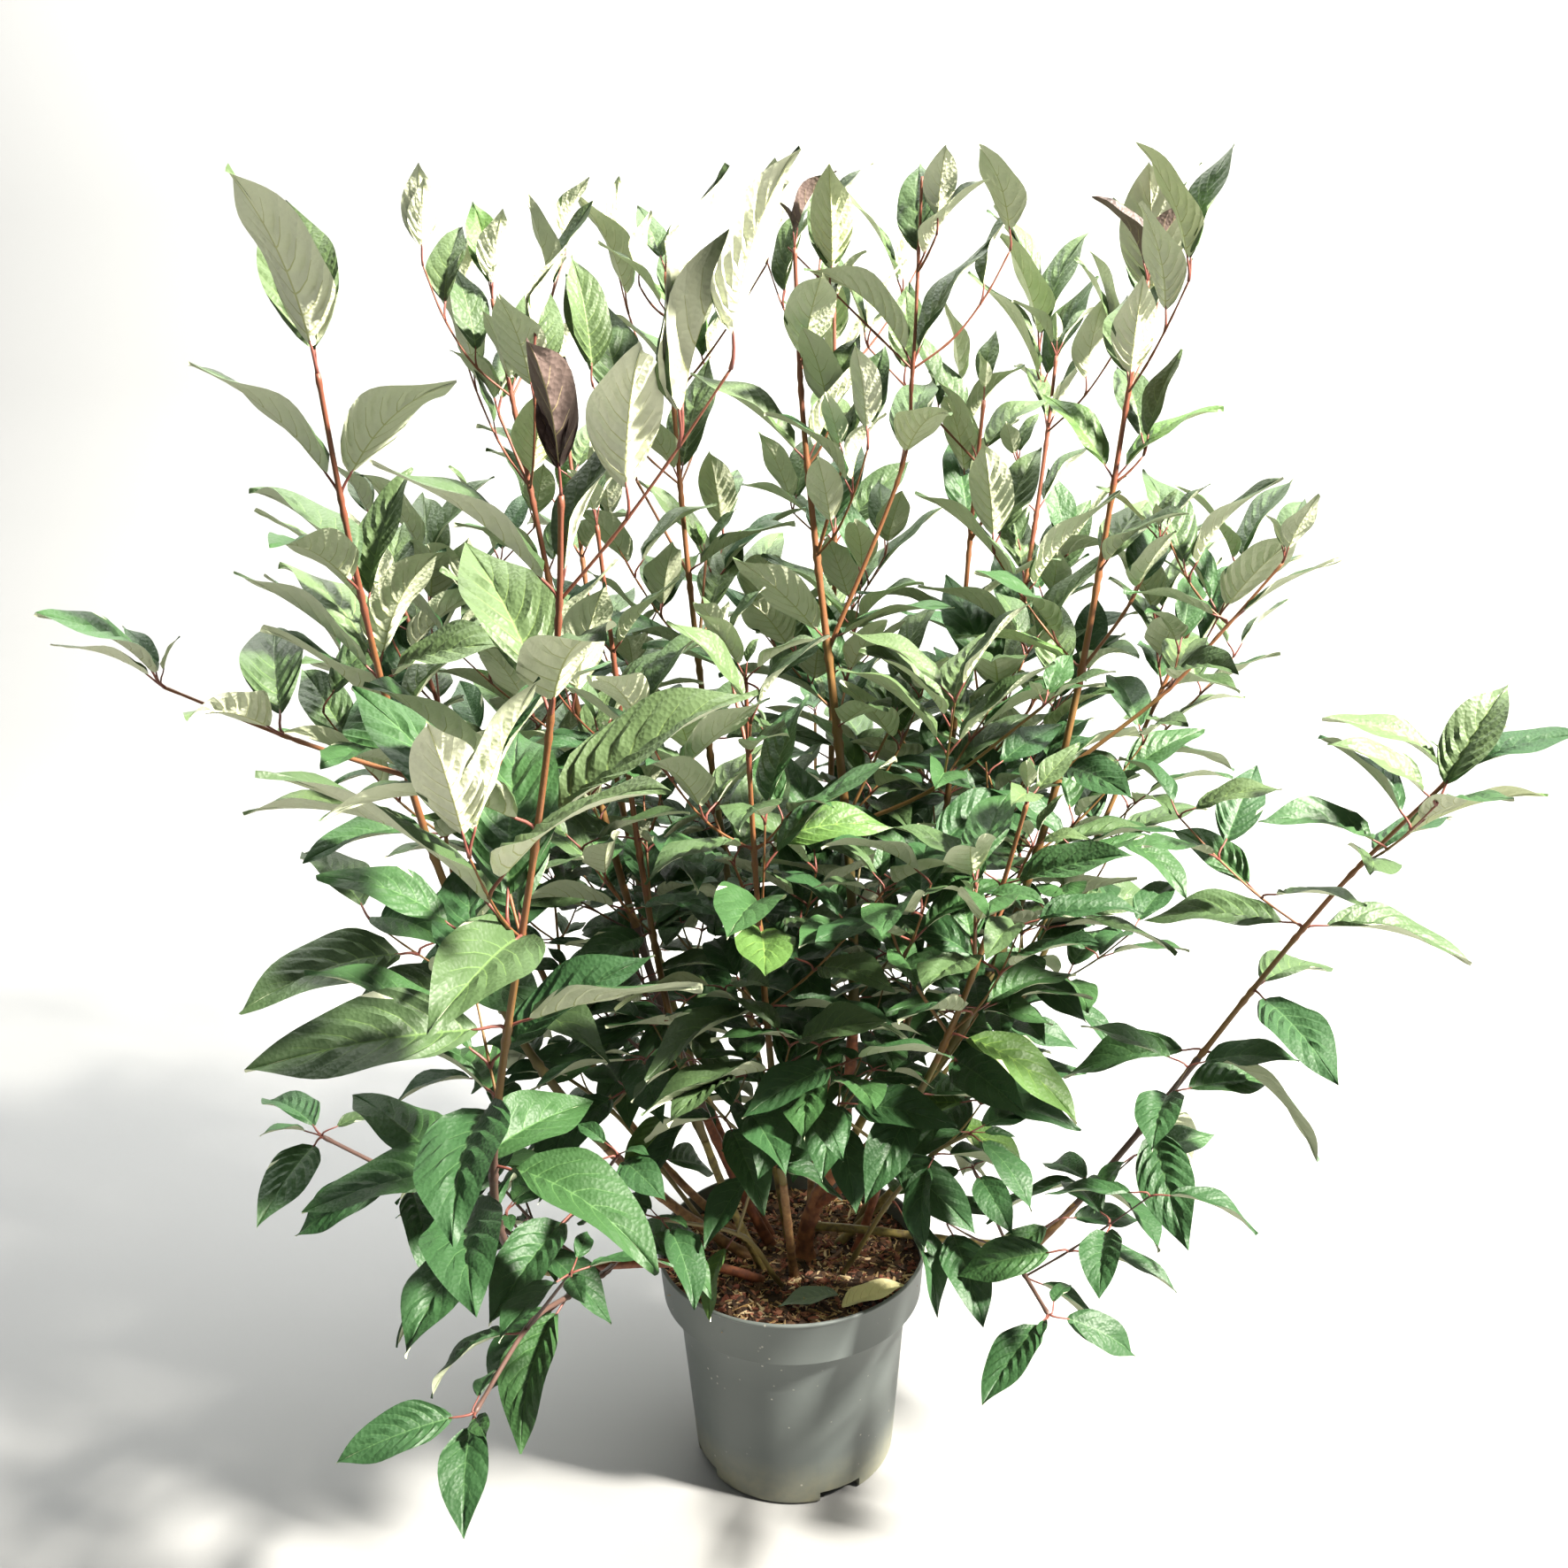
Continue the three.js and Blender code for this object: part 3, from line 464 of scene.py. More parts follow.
class Path:
    """A curve from foot to tip that leaves and arrives in given directions, measured along itself."""

    def __init__(self, foot, leave, tip, arrive):
        pull = (tip - foot).length / 3
        self.knots = (foot, foot + leave * pull, tip - arrive * pull, tip)
        self.marks = [0.0]
        before = foot
        for i in range(1, CURVE_STEPS + 1):
            here = curve_at(self.knots, i / CURVE_STEPS)
            self.marks.append(self.marks[-1] + (here - before).length)
            before = here
        self.length = self.marks[-1]

    def point(self, share):
        """The point at a share of the way."""
        run = share * self.length
        i = min(max(bisect.bisect_right(self.marks, run) - 1, 0), CURVE_STEPS - 1)
        part = (run - self.marks[i]) / (self.marks[i + 1] - self.marks[i])
        return curve_at(self.knots, (i + part) / CURVE_STEPS)


def smoothed(corners, step):
    """Points every step or so on a smooth line through the corners, and each one's share of the way."""
    line, shares = [], []
    count = len(corners) - 1
    for i in range(count):
        a, b = corners[i], corners[i + 1]
        before = corners[i - 1] if i else a * 2 - b
        after = corners[i + 2] if i + 2 <= count else b * 2 - a
        parts = max(1, round((b - a).length / step))
        for k in range(parts + (i == count - 1)):
            t = k / parts
            ways = a * 2 + (b - before) * t + (before * 2 - a * 5 + b * 4 - after) * t * t
            line.append((ways + (a * 3 - before - b * 3 + after) * t**3) / 2)
            shares.append((i + t) / count)
    return line, shares


def tube(line, radii, sides, relief=None):
    """The points and faces of a limb round a line. relief gives each point's own share of the radius."""
    points, side = [], None
    for ring, centre in enumerate(line):
        axis = (line[min(ring + 1, len(line) - 1)] - line[max(ring - 1, 0)]).normalized()
        side = side or axis.cross(Vector((0.3, 0.9, 0.1)))
        side = (side - axis * side.dot(axis)).normalized()
        other = axis.cross(side)
        for i in range(sides):
            angle = 2 * math.pi * i / sides
            out = side * math.cos(angle) + other * math.sin(angle)
            swell = relief(ring, angle, centre, out) if relief else 1
            points.append(centre + out * (radii[ring] * swell))
    last = len(points) - sides
    ends = [list(range(sides))[::-1], list(range(last, last + sides))]
    return points, ring_faces(len(line), sides) + ends


def bark(name, first, second, roughness=0.62, patch_mm=7):
    """Young dogwood bark: thin and satiny, blotched in two close tints, so limbs don't look painted."""
    material, tree, shader, place = new_material(name, roughness, 1.5)
    two_tone(tree, shader, place, patch_mm, first, second)
    grain(tree, shader, place, 1.6, 0.35)
    return material


def bark_relief(rings_at, depth):
    """Shallow ridges along a limb, small raised pores, and a swelling at each old leaf ring."""

    def swell(ring, angle, centre, out):
        ridges = noise.noise((math.cos(angle) * 2.2, math.sin(angle) * 2.2, centre.z / 30))
        lumps = noise.noise(centre * 0.06 + out * 0.8)
        pore = max(0, noise.noise(centre * 0.21 + out * 3.1) - 0.42)
        joint = sum(math.exp(-(((ring - at) / RING_WIDTH) ** 2)) for at in rings_at)
        return 1 + depth * (0.5 * ridges + 0.4 * lumps + 1.2 * pore) + RING_RISE * joint

    return swell


trunk_foot = Vector((*TRUNK_FOOT, SOIL + GAP))
trunk_path = Path(trunk_foot, direction(*TRUNK_LEAVE), Vector(TRUNK_FORK), direction(*TRUNK_ARRIVE))


def make_trunk():
    """The trunk as one round limb in fine rings."""
    count = round(trunk_path.length / BARK_STEP)
    shares = [i / count for i in range(count + 1)]
    line = [trunk_path.point(s) for s in shares]
    radii = []
    for share in shares:
        shaft = blend(TRUNK_THICK, TRUNK_TOP_THICK, share) / 2
        radii.append(shaft * (1 + (FLARE - 1) * math.exp(-3 * share * trunk_path.length / FLARE_HEIGHT)))
    rings_at = [count * at for at in TRUNK_RINGS]
    points, faces = tube(line, radii, TRUNK_SIDES, bark_relief(rings_at, TRUNK_RIDGES))
    # Its foot is cut level.
    for point in points[:TRUNK_SIDES]:
        point.z = SOIL + GAP
    old_bark = bark("dogwood_bark_old", "#6e4230", "#a36c48", 0.7, 9)
    return add_piece("trunk_bark", points, faces, [old_bark])


trunk = make_trunk()
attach(trunk, "root")
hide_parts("trunk")

# The boughs: each stem's bare foot, one tapering limb out of the mix, the trunk or another
# bough. Young dogwood wood is smooth and satiny, olive to orange-brown, with raised pores.
TIP_THICK = 3.4
BARE_TIP = 0.8
INTERNODES = (98, 76)
FIRST_NODE = 0.35
LAST_NODE = 0.55
BEND = 7
SEEDS_PER_STEM = 72
SUNK = 10  # how far a stem's foot goes down into the loose mix
BOUGH_STEP = 3
BOUGH_SIDES = 18
BOUGH_RINGS = (0.33, 0.58, 0.84)
BOUGH_RIDGES = 0.13
FOOT_SWELL = 0.22
FOOT_REACH = 9
# How far each measure strays about its middle.
VARY = dict(node=0.16, turn=14, heading=24, rise=26, roll=1.1, length=0.2, width=0.16,
            curl=0.65, fold=0.38, reach=0.5, twig_rise=20)

# foot: place on the mix, or on and at: the limb that bears it and how far up. tip: where it
# ends. leave and arrive: heading and rise at foot and tip. thick: its foot. bare: share of its
# length that is bare bough. leaf: length of its blades, and tip_leaf: share of that at the tip.
# turn: heading of its lowest pair. side: share of its axils that bear a twig. forks: side
# limbs, each with its place, heading, rises and length. fine: share of its axils that bear
# finer shoots than its solid has, where that isn't usual.
STEMS = [
    dict(name="centre", on="trunk", at=1, leave=(10, 80), tip=(18, 0, 1228), arrive=(90, 88),
         thick=13, bare=0.16, leaf=106, turn=10, side=0.15,
         forks=[
             dict(at=0.38, heading=-28, rise=(20, 42), length=240),
             dict(at=0.56, heading=4, rise=(52, 87), length=430),
         ]),
    dict(name="right", on="trunk", at=0.78, leave=(-4, 40), tip=(320, 0, 1196), arrive=(0, 82),
         thick=11, bare=0.2, leaf=100, turn=0, side=0.15, tip_leaf=0.75,
         forks=[dict(at=0.5, heading=-8, rise=(32, 52), length=280)]),
    dict(name="left", foot=(-44, 6), leave=(181, 36), tip=(-308, -318, 1150), arrive=(272, 74),
         thick=11, bare=0.2, leaf=124, turn=175, side=0.16, tip_leaf=1.1, fine=0.15,
         forks=[dict(at=0.68, heading=178, rise=(16, 24), length=205)]),
    dict(name="left_centre", foot=(-22, 26), leave=(165, 62), tip=(-252, 60, 1190), arrive=(172, 82),
         thick=11, bare=0.16, leaf=106, turn=20, side=0.17, tip_leaf=0.8),
    dict(name="middle_back", foot=(-2, 34), leave=(125, 74), tip=(-102, 150, 1210), arrive=(100, 86),
         thick=10, bare=0.24, leaf=102, turn=60, side=0.15),
    dict(name="back", on="trunk", at=0.74, leave=(88, 46), tip=(62, 300, 1172), arrive=(92, 80),
         thick=10, bare=0.2, leaf=104, turn=80, side=0.19),
    dict(name="back_left", foot=(-24, 48), leave=(132, 44), tip=(-232, 338, 1106), arrive=(112, 78),
         thick=10, bare=0.2, leaf=106, turn=130, side=0.19),
    dict(name="back_right", on="trunk", at=0.56, leave=(44, 40), tip=(292, 278, 1120), arrive=(60, 78),
         thick=10, bare=0.2, leaf=104, turn=40, side=0.19),
    dict(name="far_left", foot=(-44, 32), leave=(166, 34), tip=(-398, 132, 980), arrive=(160, 70),
         thick=9, bare=0.22, leaf=104, turn=170, side=0.19),
    dict(name="right_inner", foot=(68, 13), leave=(36, 64), tip=(196, 110, 1090), arrive=(20, 84),
         thick=9, bare=0.2, leaf=100, turn=110, side=0.15),
    dict(name="right_back", foot=(50, 27), leave=(18, 36), tip=(432, 168, 880), arrive=(20, 62),
         thick=9, bare=0.26, leaf=104, turn=16, side=0.19),
    dict(name="front", foot=(2, -26), leave=(262, 66), tip=(-28, -212, 905), arrive=(268, 80),
         thick=9, bare=0.22, leaf=104, turn=200, side=0.15),
    dict(name="front_right", on="trunk", at=0.5, leave=(-48, 42), tip=(196, -216, 800), arrive=(-50, 74),
         thick=9, bare=0.2, leaf=106, turn=330, side=0.19),
    dict(name="left_inner", foot=(-30, -14), leave=(200, 66), tip=(-152, -92, 1010), arrive=(230, 84),
         thick=9, bare=0.22, leaf=102, turn=250, side=0.15),
    dict(name="low_back", foot=(18, 46), leave=(84, 30), tip=(40, 420, 700), arrive=(88, 52),
         thick=8, bare=0.3, leaf=106, turn=90, side=0.19),
    dict(name="over_left_rim", foot=(-34, -34), leave=(208, 40), tip=(-218, -128, 306), arrive=(206, 12),
         thick=10, bare=1),
    dict(name="front_left", on="over_left_rim", at=1, leave=(250, 30), tip=(-122, -516, 1092),
         arrive=(288, 76), thick=8.6, bare=0.12, leaf=138, turn=178, side=0.14, fine=0.3),
    dict(name="low_left", on="over_left_rim", at=0.86, leave=(186, 24), tip=(-404, -214, 506),
         arrive=(206, 40), thick=6, bare=0, leaf=110, turn=200, side=0.3, tip_leaf=0.9),
    dict(name="low_front", on="over_left_rim", at=0.78, leave=(262, 18), tip=(-248, -404, 372),
         arrive=(256, -22), thick=6, bare=0, leaf=108, turn=170, side=0.35, tip_leaf=0.9),
    dict(name="over_right_rim", on="trunk", at=0.3, leave=(-4, 0), tip=(250, -34, 258), arrive=(-10, 6),
         thick=9, bare=1),
    dict(name="far_right", on="over_right_rim", at=1, leave=(-8, 52), tip=(540, -206, 812),
         arrive=(-40, 52), thick=7.4, bare=0.1, leaf=118, turn=170, side=0.06, tip_leaf=0.9, fine=0.3),
    dict(name="low_right", on="over_right_rim", at=0.84, leave=(-70, 24), tip=(232, -210, 306),
         arrive=(-62, -16), thick=5.6, bare=0, leaf=104, turn=20, side=0.19, tip_leaf=0.9, fine=0.2),
]
# Short stems of one kind that lean out over the rim.
RIM_STEMS = [
    # name, foot, leave, tip, arrive, turn
    ("left", (-10, -46), (232, 56), (-118, -176, 392), (214, 8), 120),
    ("right", (52, -26), (-30, 60), (168, -118, 440), (-30, 36), 20),
    ("back_right", (62, 38), (34, 54), (222, 140, 420), (30, 24), 60),
    ("back_left", (-52, 58), (138, 54), (-190, 190, 430), (136, 24), 140),
    ("far_left", (-66, 12), (176, 52), (-260, 46, 440), (172, 24), 90),
]
RIM_STEM = dict(thick=5.6, bare=0, leaf=104, side=0.19, tip_leaf=0.9)
for name, foot, leave, tip, arrive, turn in RIM_STEMS:
    line = dict(foot=foot, leave=leave, tip=tip, arrive=arrive)
    STEMS.append(dict(name=f"rim_{name}", turn=turn, **line, **RIM_STEM))


def vary(middle, span, random):
    """A number drawn evenly from a span about its middle."""
    return middle + span * (random() - 0.5)


def nodes_of(path, start, internodes, random):
    """The shares of a shoot's length at which its leaf pairs stand, closer towards the tip."""
    nodes, run = [], start * path.length + internodes[0] * FIRST_NODE
    while run < path.length - internodes[1] * LAST_NODE:
        share = (run / path.length - start) / (1 - start)
        nodes.append(run / path.length)
        run += vary(1, VARY["node"], random) * blend(*internodes, share)
    return nodes


def rings_of(path, start, nodes, first, last):
    """Points on a shoot at its foot, just under each leaf pair and at its tip, and how thick it is."""
    shares = [start, *[node - BEND / path.length for node in nodes], 1]
    thick = [blend(first, last, (share - start) / (1 - start)) for share in shares]
    return [path.point(share) for share in shares], thick


paths = {"trunk": trunk_path}
shoots = []
for order, stem in enumerate(STEMS):
    foot = Vector((*stem["foot"], SOIL + GAP)) if "foot" in stem else paths[stem["on"]].point(stem["at"])
    path = Path(foot, direction(*stem["leave"]), Vector(stem["tip"]), direction(*stem["arrive"]))
    paths[stem["name"]] = path
    tip_thick = TIP_THICK if stem["bare"] < 1 else stem["thick"] * BARE_TIP
    stem["joint"] = blend(stem["thick"], tip_thick, stem["bare"])
    stem["seed"] = SEEDS_PER_STEM * (order + 1)
    if stem["bare"] < 1:
        start = stem["bare"] + (GAP / path.length if stem["bare"] else 0)
        nodes = nodes_of(path, start, INTERNODES, seeded(stem["seed"]))
        shoots.append((stem, rings_of(path, start, nodes, stem["joint"], TIP_THICK)))

# The boughs take three tints in turn.
BOUGH_BARKS = [
    bark("dogwood_bark_olive", "#5f5230", "#87793f"),
    bark("dogwood_bark_tan", "#6b4a2e", "#937046"),
    bark("dogwood_bark_red_brown", "#663826", "#8e5435"),
]


def make_bough(stem, path):
    """A bough as one round tapering limb, a little swollen where it leaves the mix or a limb."""
    count = max(6, round(stem["bare"] * path.length / BOUGH_STEP))
    shares = [stem["bare"] * i / count for i in range(count + 1)]
    line = [path.point(share) for share in shares]
    if "foot" in stem:
        line[0] -= direction(*stem["leave"]) * SUNK
    radii = []
    for share in shares:
        collar = 1 + FOOT_SWELL * math.exp(-share * path.length / FOOT_REACH)
        radii.append(collar * blend(stem["thick"], stem["joint"], share / stem["bare"]) / 2)
    rings_at = [count * at for at in BOUGH_RINGS]
    points, faces = tube(line, radii, BOUGH_SIDES, bark_relief(rings_at, BOUGH_RIDGES))
    tint = BOUGH_BARKS[(stem["seed"] // SEEDS_PER_STEM + 1) % len(BOUGH_BARKS)]
    return add_piece(f"bough_{stem['name']}_bark", points, faces, [tint])


for stem in STEMS:
    if stem["bare"] > 0:
        bough = make_bough(stem, paths[stem["name"]])
        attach(bough, "root")
        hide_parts("bough_" + stem["name"])

# The foliage grows on from the boughs: each mass is a stem with opposite leaf pairs, each
# pair a quarter turn on from the last, with side limbs and twigs in some axils. Low leaves
# droop and high ones stand up.
FORK_THICK = 4.6
TWIG_THICK = 3.6
TWIG_TIP_THICK = 2.4
TWIG_INTERNODES = (84, 84)
TWIG_BARE = 0.36
TWIG_REACHES = (170, 80)
TWIG_RISE = 40
LOW_TWIGS = 1.3
TWIG_LIFT = 24
SPREAD = 0.25
TWIG_LEAF = 0.8
FORK_LEAF = 0.95
LEAF_WIDTH = 0.42
LEAF_CURL = 0.68
LEAF_FOLD = 0.31
PETIOLE = 13
RISES = (-22, 66)
RISE_HEIGHTS = (330, 1080)
TIP_LEAF = 0.6
TIP_LIFT = 10
TIP_ROOT = 2
PAIR_SIZES = (0.86, 1.14)
OUTWARD = 0.45
TRIES = (0, 16, -16, 32, -32, 50, -50)
FORK_SEEDS = 10
TWIG_SEEDS = 20
UP = Vector((0, 0, 1))


def share_of(value, span):
    """How far a value lies from one end of a span to the other."""
    return (value - span[0]) / (span[1] - span[0])


def leaf_at(root, lean, heading, size, lift, random):
    """A leaf by its place on a shoot: low leaves droop and high ones stand up steeply."""
    rise = blend(*RISES, share_of(root.z, RISE_HEIGHTS))
    turn = vary(heading, VARY["heading"], random)
    along = direction(turn, vary(rise + lift, VARY["rise"], random))
    face = (UP - along * along.z).normalized()
    face.rotate(Quaternion(along, vary(0, VARY["roll"], random)))
    length = vary(1, VARY["length"], random) * size
    width = vary(1, VARY["width"], random) * length * LEAF_WIDTH
    curl = vary(LEAF_CURL, VARY["curl"], random)
    fold = vary(LEAF_FOLD, VARY["fold"], random)
    return dict(root=root, lean=lean, along=along, face=face, length=length, width=width,
                curl=curl, fold=fold)


def turned_by(leaf, degrees):
    """The leaf turned about the upright through its root."""
    by = Quaternion(UP, math.radians(degrees))
    return {**leaf, "along": by @ leaf["along"], "face": by @ leaf["face"]}


def rib_point(leaf, share, lift=0.0):
    """A point on a leaf's rib, which bends back from its face on an arc, or that far over it."""
    bend = leaf["curl"] * share
    reach = leaf["length"] * math.sin(bend) / leaf["curl"]
    drop = leaf["length"] * (1 - math.cos(bend)) / leaf["curl"]
    face = leaf["face"] * math.cos(bend) + leaf["along"] * math.sin(bend)
    return leaf["root"] + leaf["along"] * (PETIOLE + reach) - leaf["face"] * drop + face * lift


def heading_from(point, tangent, turn):
    """The heading of a pair's leaf: round the shoot, and pulled outward from the pot's axis."""
    around = direction(turn, 0)
    around -= tangent * around.dot(tangent)
    around += Vector((point.x, point.y, 0)).normalized() * OUTWARD
    return math.degrees(math.atan2(around.y, around.x))


class Solid:
    """The corners of a mass's solid, which say which of its leaves and twigs found room."""

    def __init__(self, node):
        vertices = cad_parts[node].data.vertices
        self.tree = kdtree.KDTree(len(vertices))
        for i, vertex in enumerate(vertices):
            self.tree.insert(vertex.co / MM, i)
        self.tree.balance()

    def has(self, point, reach):
        """Says if a corner lies within reach of the point."""
        return self.tree.find(point)[2] < reach


def settled(leaf, solid):
    """The leaf in the attitude that it has in the solid, or None."""
    for degrees in TRIES:
        tried = turned_by(leaf, degrees)
        if solid.has(rib_point(tried, 1), 0.3):
            return tried
    return None


def grow_along(mass, corners, turn, leaf_scale, twig_share, random):
    """Leaf pairs on a shoot's nodes, with twigs in some axils, and an upright pair at its tip."""
    stem, twigs, bends = mass["stem"], [], corners[1:-1]
    for i, bend in enumerate(bends):
        share = (i + 0.5) / len(bends)
        tangent = (corners[i + 2] - bend).normalized()
        point = bend + tangent * BEND
        for half in (0, 180):
            heading = heading_from(point, tangent, turn + half)
            size = stem["leaf"] * leaf_scale * blend(*PAIR_SIZES, math.sin(math.pi * share))
            leaf = leaf_at(point, tangent, heading, size, 0, random)
            bears = random() < twig_share * (LOW_TWIGS - share)
            reach = vary(1, VARY["reach"], random) * blend(*TWIG_REACHES, share)
            rise = vary(TWIG_RISE, VARY["twig_rise"], random)
            if bears:
                twigs.append((point, heading, reach, (rise, rise + TWIG_LIFT)))
            else:
                keep_leaf(mass, leaf)
            mass["axils"].append((point, heading))
        turn += vary(90, VARY["turn"], random)
    lean = (corners[-1] - corners[-2]).normalized()
    root = corners[-1] - lean * TIP_ROOT
    for half in (0, 180):
        heading = heading_from(root, lean, turn + half)
        size = stem["leaf"] * leaf_scale * stem.get("tip_leaf", TIP_LEAF)
        keep_leaf(mass, leaf_at(root, lean, heading, size, TIP_LIFT, random))
    return twigs


def keep_leaf(mass, leaf):
    """Keeps a leaf that the solid has, and notes one that it has no room for."""
    found = settled(leaf, mass["solid"])
    (mass["leaves"] if found else mass["missed"]).append(found or leaf)


def shoot_path(point, leave, arrive, reach, spread):
    """The path of a shoot that leaves its stem in one direction and turns into another."""
    tip = point + leave * (reach * spread) + arrive * (reach * (1 - spread))
    return Path(point, leave, tip, arrive)


def grow_twig(mass, point, heading, reach, rises, thick, leaf_scale, seed):
    """A side limb or twig: a thin shoot from a point of the stem, where the solid has it."""
    random = seeded(seed)
    leave, arrive = [direction(heading, rise) for rise in rises]
    path = shoot_path(point, leave, arrive, reach, SPREAD)
    nodes = nodes_of(path, TWIG_BARE, TWIG_INTERNODES, random)
    if mass["solid"].has(path.knots[-1], TWIG_TIP_THICK * 0.6):
        corners, thicks = rings_of(path, 0, nodes, thick, TWIG_TIP_THICK)
        mass["shoots"].append((corners, thicks))
        grow_along(mass, corners, heading + 90, leaf_scale, 0, random)


masses = []
for stem, (corners, thicks) in shoots:
    mass = dict(stem=stem, solid=Solid("foliage_" + stem["name"]), shoots=[(corners, thicks)],
                leaves=[], missed=[], axils=[])
    masses.append(mass)
    bends = corners[1:-1]
    for i, fork in enumerate(stem.get("forks", ())):
        wanted = paths[stem["name"]].point(fork["at"])
        point = min(bends, key=lambda bend: (bend - wanted).length)
        limb = (point, fork["heading"], fork["length"], fork["rise"])
        grow_twig(mass, *limb, FORK_THICK, FORK_LEAF, stem["seed"] + FORK_SEEDS + i)
    twigs = grow_along(mass, corners, stem["turn"], 1, stem["side"], seeded(stem["seed"] + 1))
    for i, twig in enumerate(twigs):
        grow_twig(mass, *twig, TWIG_THICK, TWIG_LEAF, stem["seed"] + TWIG_SEEDS + i)

# The finer growth: more of the same shoots and leaves than the solids hold, out of the same
# axils and within the same reach. Pairs that found no room come smaller, side shoots fill the
# crown, and each tip opens a new pair.
BLADE_ROWS = (0, 0.25, 0.55, 0.85, 1)
SMALLER = (0.8, 0.62, 0.46)
SIDE_SHARE = (0.5, 0.98)
SIDE_HEIGHTS = (420, 900)
SIDE_LENGTHS = (150, 105, 66, 38)
SIDE_INTERNODE = 52
SIDE_LEAF = 1.06
SIDE_LEAVE = (24, 46)
SIDE_ARRIVE = (42, 76)
SIDE_SIZES = (0.8, 1.2)
SIDE_STRETCH = (0.85, 1.15)
SIDE_END_PAIR = 0.85
SIDE_SHORTEST = 0.65
SIDE_FULL_AT = 250
SIDE_SMALLER = (1, 0.76)
SIDE_LIFT = 20
SIDE_SPREAD = 0.4
SIDE_MARKS = (0, 0.33, 0.67, 1)
SIDE_THICKS = (2.3, 2.0, 1.7, 1.4)
BUD_LEAF = 0.32
BUD_SIZES = (0.7, 1.3)
WIDEST = 0.43
SMALL_SEED = 900
SIDE_SEED = 1000
CROWN_LOW = Vector((-560, -600, 262))  # the box that the new growth stays in
CROWN_HIGH = Vector((640, 500, 1306))
obstacles = []


def half_width(share):
    """Half the width of a blade at a share of its length, in widths: tapered base, long point."""
    if share < WIDEST:
        return 0.5 * (1 - ((WIDEST - share) / WIDEST) ** 2.6)
    out = (share - WIDEST) / (1 - WIDEST)
    return 0.5 * (1 - out * out) * (1 - 0.5 * out**3)


class Obstacle:
    """A shape that new growth keeps clear of, with its box for a quick first look."""

    def __init__(self, points, faces):
        self.tree = bvhtree.BVHTree.FromPolygons(points, faces)
        corners = np.array(points)
        self.low, self.high = corners.min(axis=0), corners.max(axis=0)

    def meets(self, other):
        """Says if two shapes cut each other."""
        if (self.low > other.high).any() or (other.low > self.high).any():
            return False
        return bool(self.tree.overlap(other.tree))

    def is_clear(self):
        """Says if it lies in the crown's box and cuts nothing that stands there."""
        inside = (self.low > CROWN_LOW).all() and (self.high < CROWN_HIGH).all()
        return inside and not any(self.meets(other) for other in obstacles)


def blade_shape(leaf):
    """A blade as a folded strip."""
    side = leaf["along"].cross(leaf["face"])
    points = []
    for share in BLADE_ROWS:
        half = leaf["width"] * half_width(share)
        edge = half * math.cos(leaf["fold"])
        for across in (-edge, 0, edge):
            points.append(rib_point(leaf, share, abs(across) * math.tan(leaf["fold"])) + side * across)
    strips = range(0, 3 * (len(BLADE_ROWS) - 1), 3)
    faces = [[i + k, i + k + 1, i + k + 4, i + k + 3] for i in strips for k in (0, 1)]
    return Obstacle(points, faces)


def shoot_shape(path):
    """A shoot as a thin strip from just off its stem to its tip."""
    points = []
    for share in (6 / path.length, 0.5, 1):
        point = path.point(share)
        points += [point, point + UP * 2]
    return Obstacle(points, [[0, 1, 3, 2], [2, 3, 5, 4]])


def place_leaf(mass, leaf, scales=(1,)):
    """Adds a leaf clear of all else, turned or smaller if it has to be. Says if it found room."""
    for scale in scales:
        for degrees in TRIES:
            tried = turned_by(leaf, degrees)
            tried.update(length=leaf["length"] * scale, width=leaf["width"] * scale)
            shape = blade_shape(tried)
            if shape.is_clear():
                obstacles.append(shape)
                mass["leaves"].append(tried)
                return True
    return False


def grow_side(mass, point, heading, random):
    """A side shoot with pairs of leaves: the longest that finds room for itself and a pair."""
    leave = direction(heading, between(SIDE_LEAVE, random))
    arrive = direction(heading, between(SIDE_ARRIVE, random))
    leaf_size = mass["stem"]["leaf"] * SIDE_LEAF * between(SIDE_SIZES, random)
    turn, stretch = 180 * random(), between(SIDE_STRETCH, random)
    for length in SIDE_LENGTHS:
        length *= stretch
        path = shoot_path(point, leave, arrive, length, SIDE_SPREAD)
        if not shoot_shape(path).is_clear():
            continue
        pairs = max(1, round(length / SIDE_INTERNODE))
        stands = 0
        for pair in range(pairs):
            share = 1 - pair * SIDE_INTERNODE / length
            root = path.point(share)
            lean = (root - path.point(share - 0.05)).normalized()
            size = leaf_size * (1 if pair else SIDE_END_PAIR)
            size *= min(1, SIDE_SHORTEST + length / SIDE_FULL_AT)
            for half in (0, 180):
                leaf = leaf_at(root, lean, turn + half + 90 * pair, size, SIDE_LIFT, random)
                stands += place_leaf(mass, leaf, SIDE_SMALLER)
        if stands:
            mass["shoots"].append(([path.point(share) for share in SIDE_MARKS], SIDE_THICKS))
            obstacles.append(shoot_shape(path))
            return


# The new growth keeps clear of every solid and of all that has found its place before.
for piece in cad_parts.values():
    if piece.type == "MESH":
        node_points = [vertex.co / MM for vertex in piece.data.vertices]
        obstacles.append(Obstacle(node_points, [list(face.vertices) for face in piece.data.polygons]))

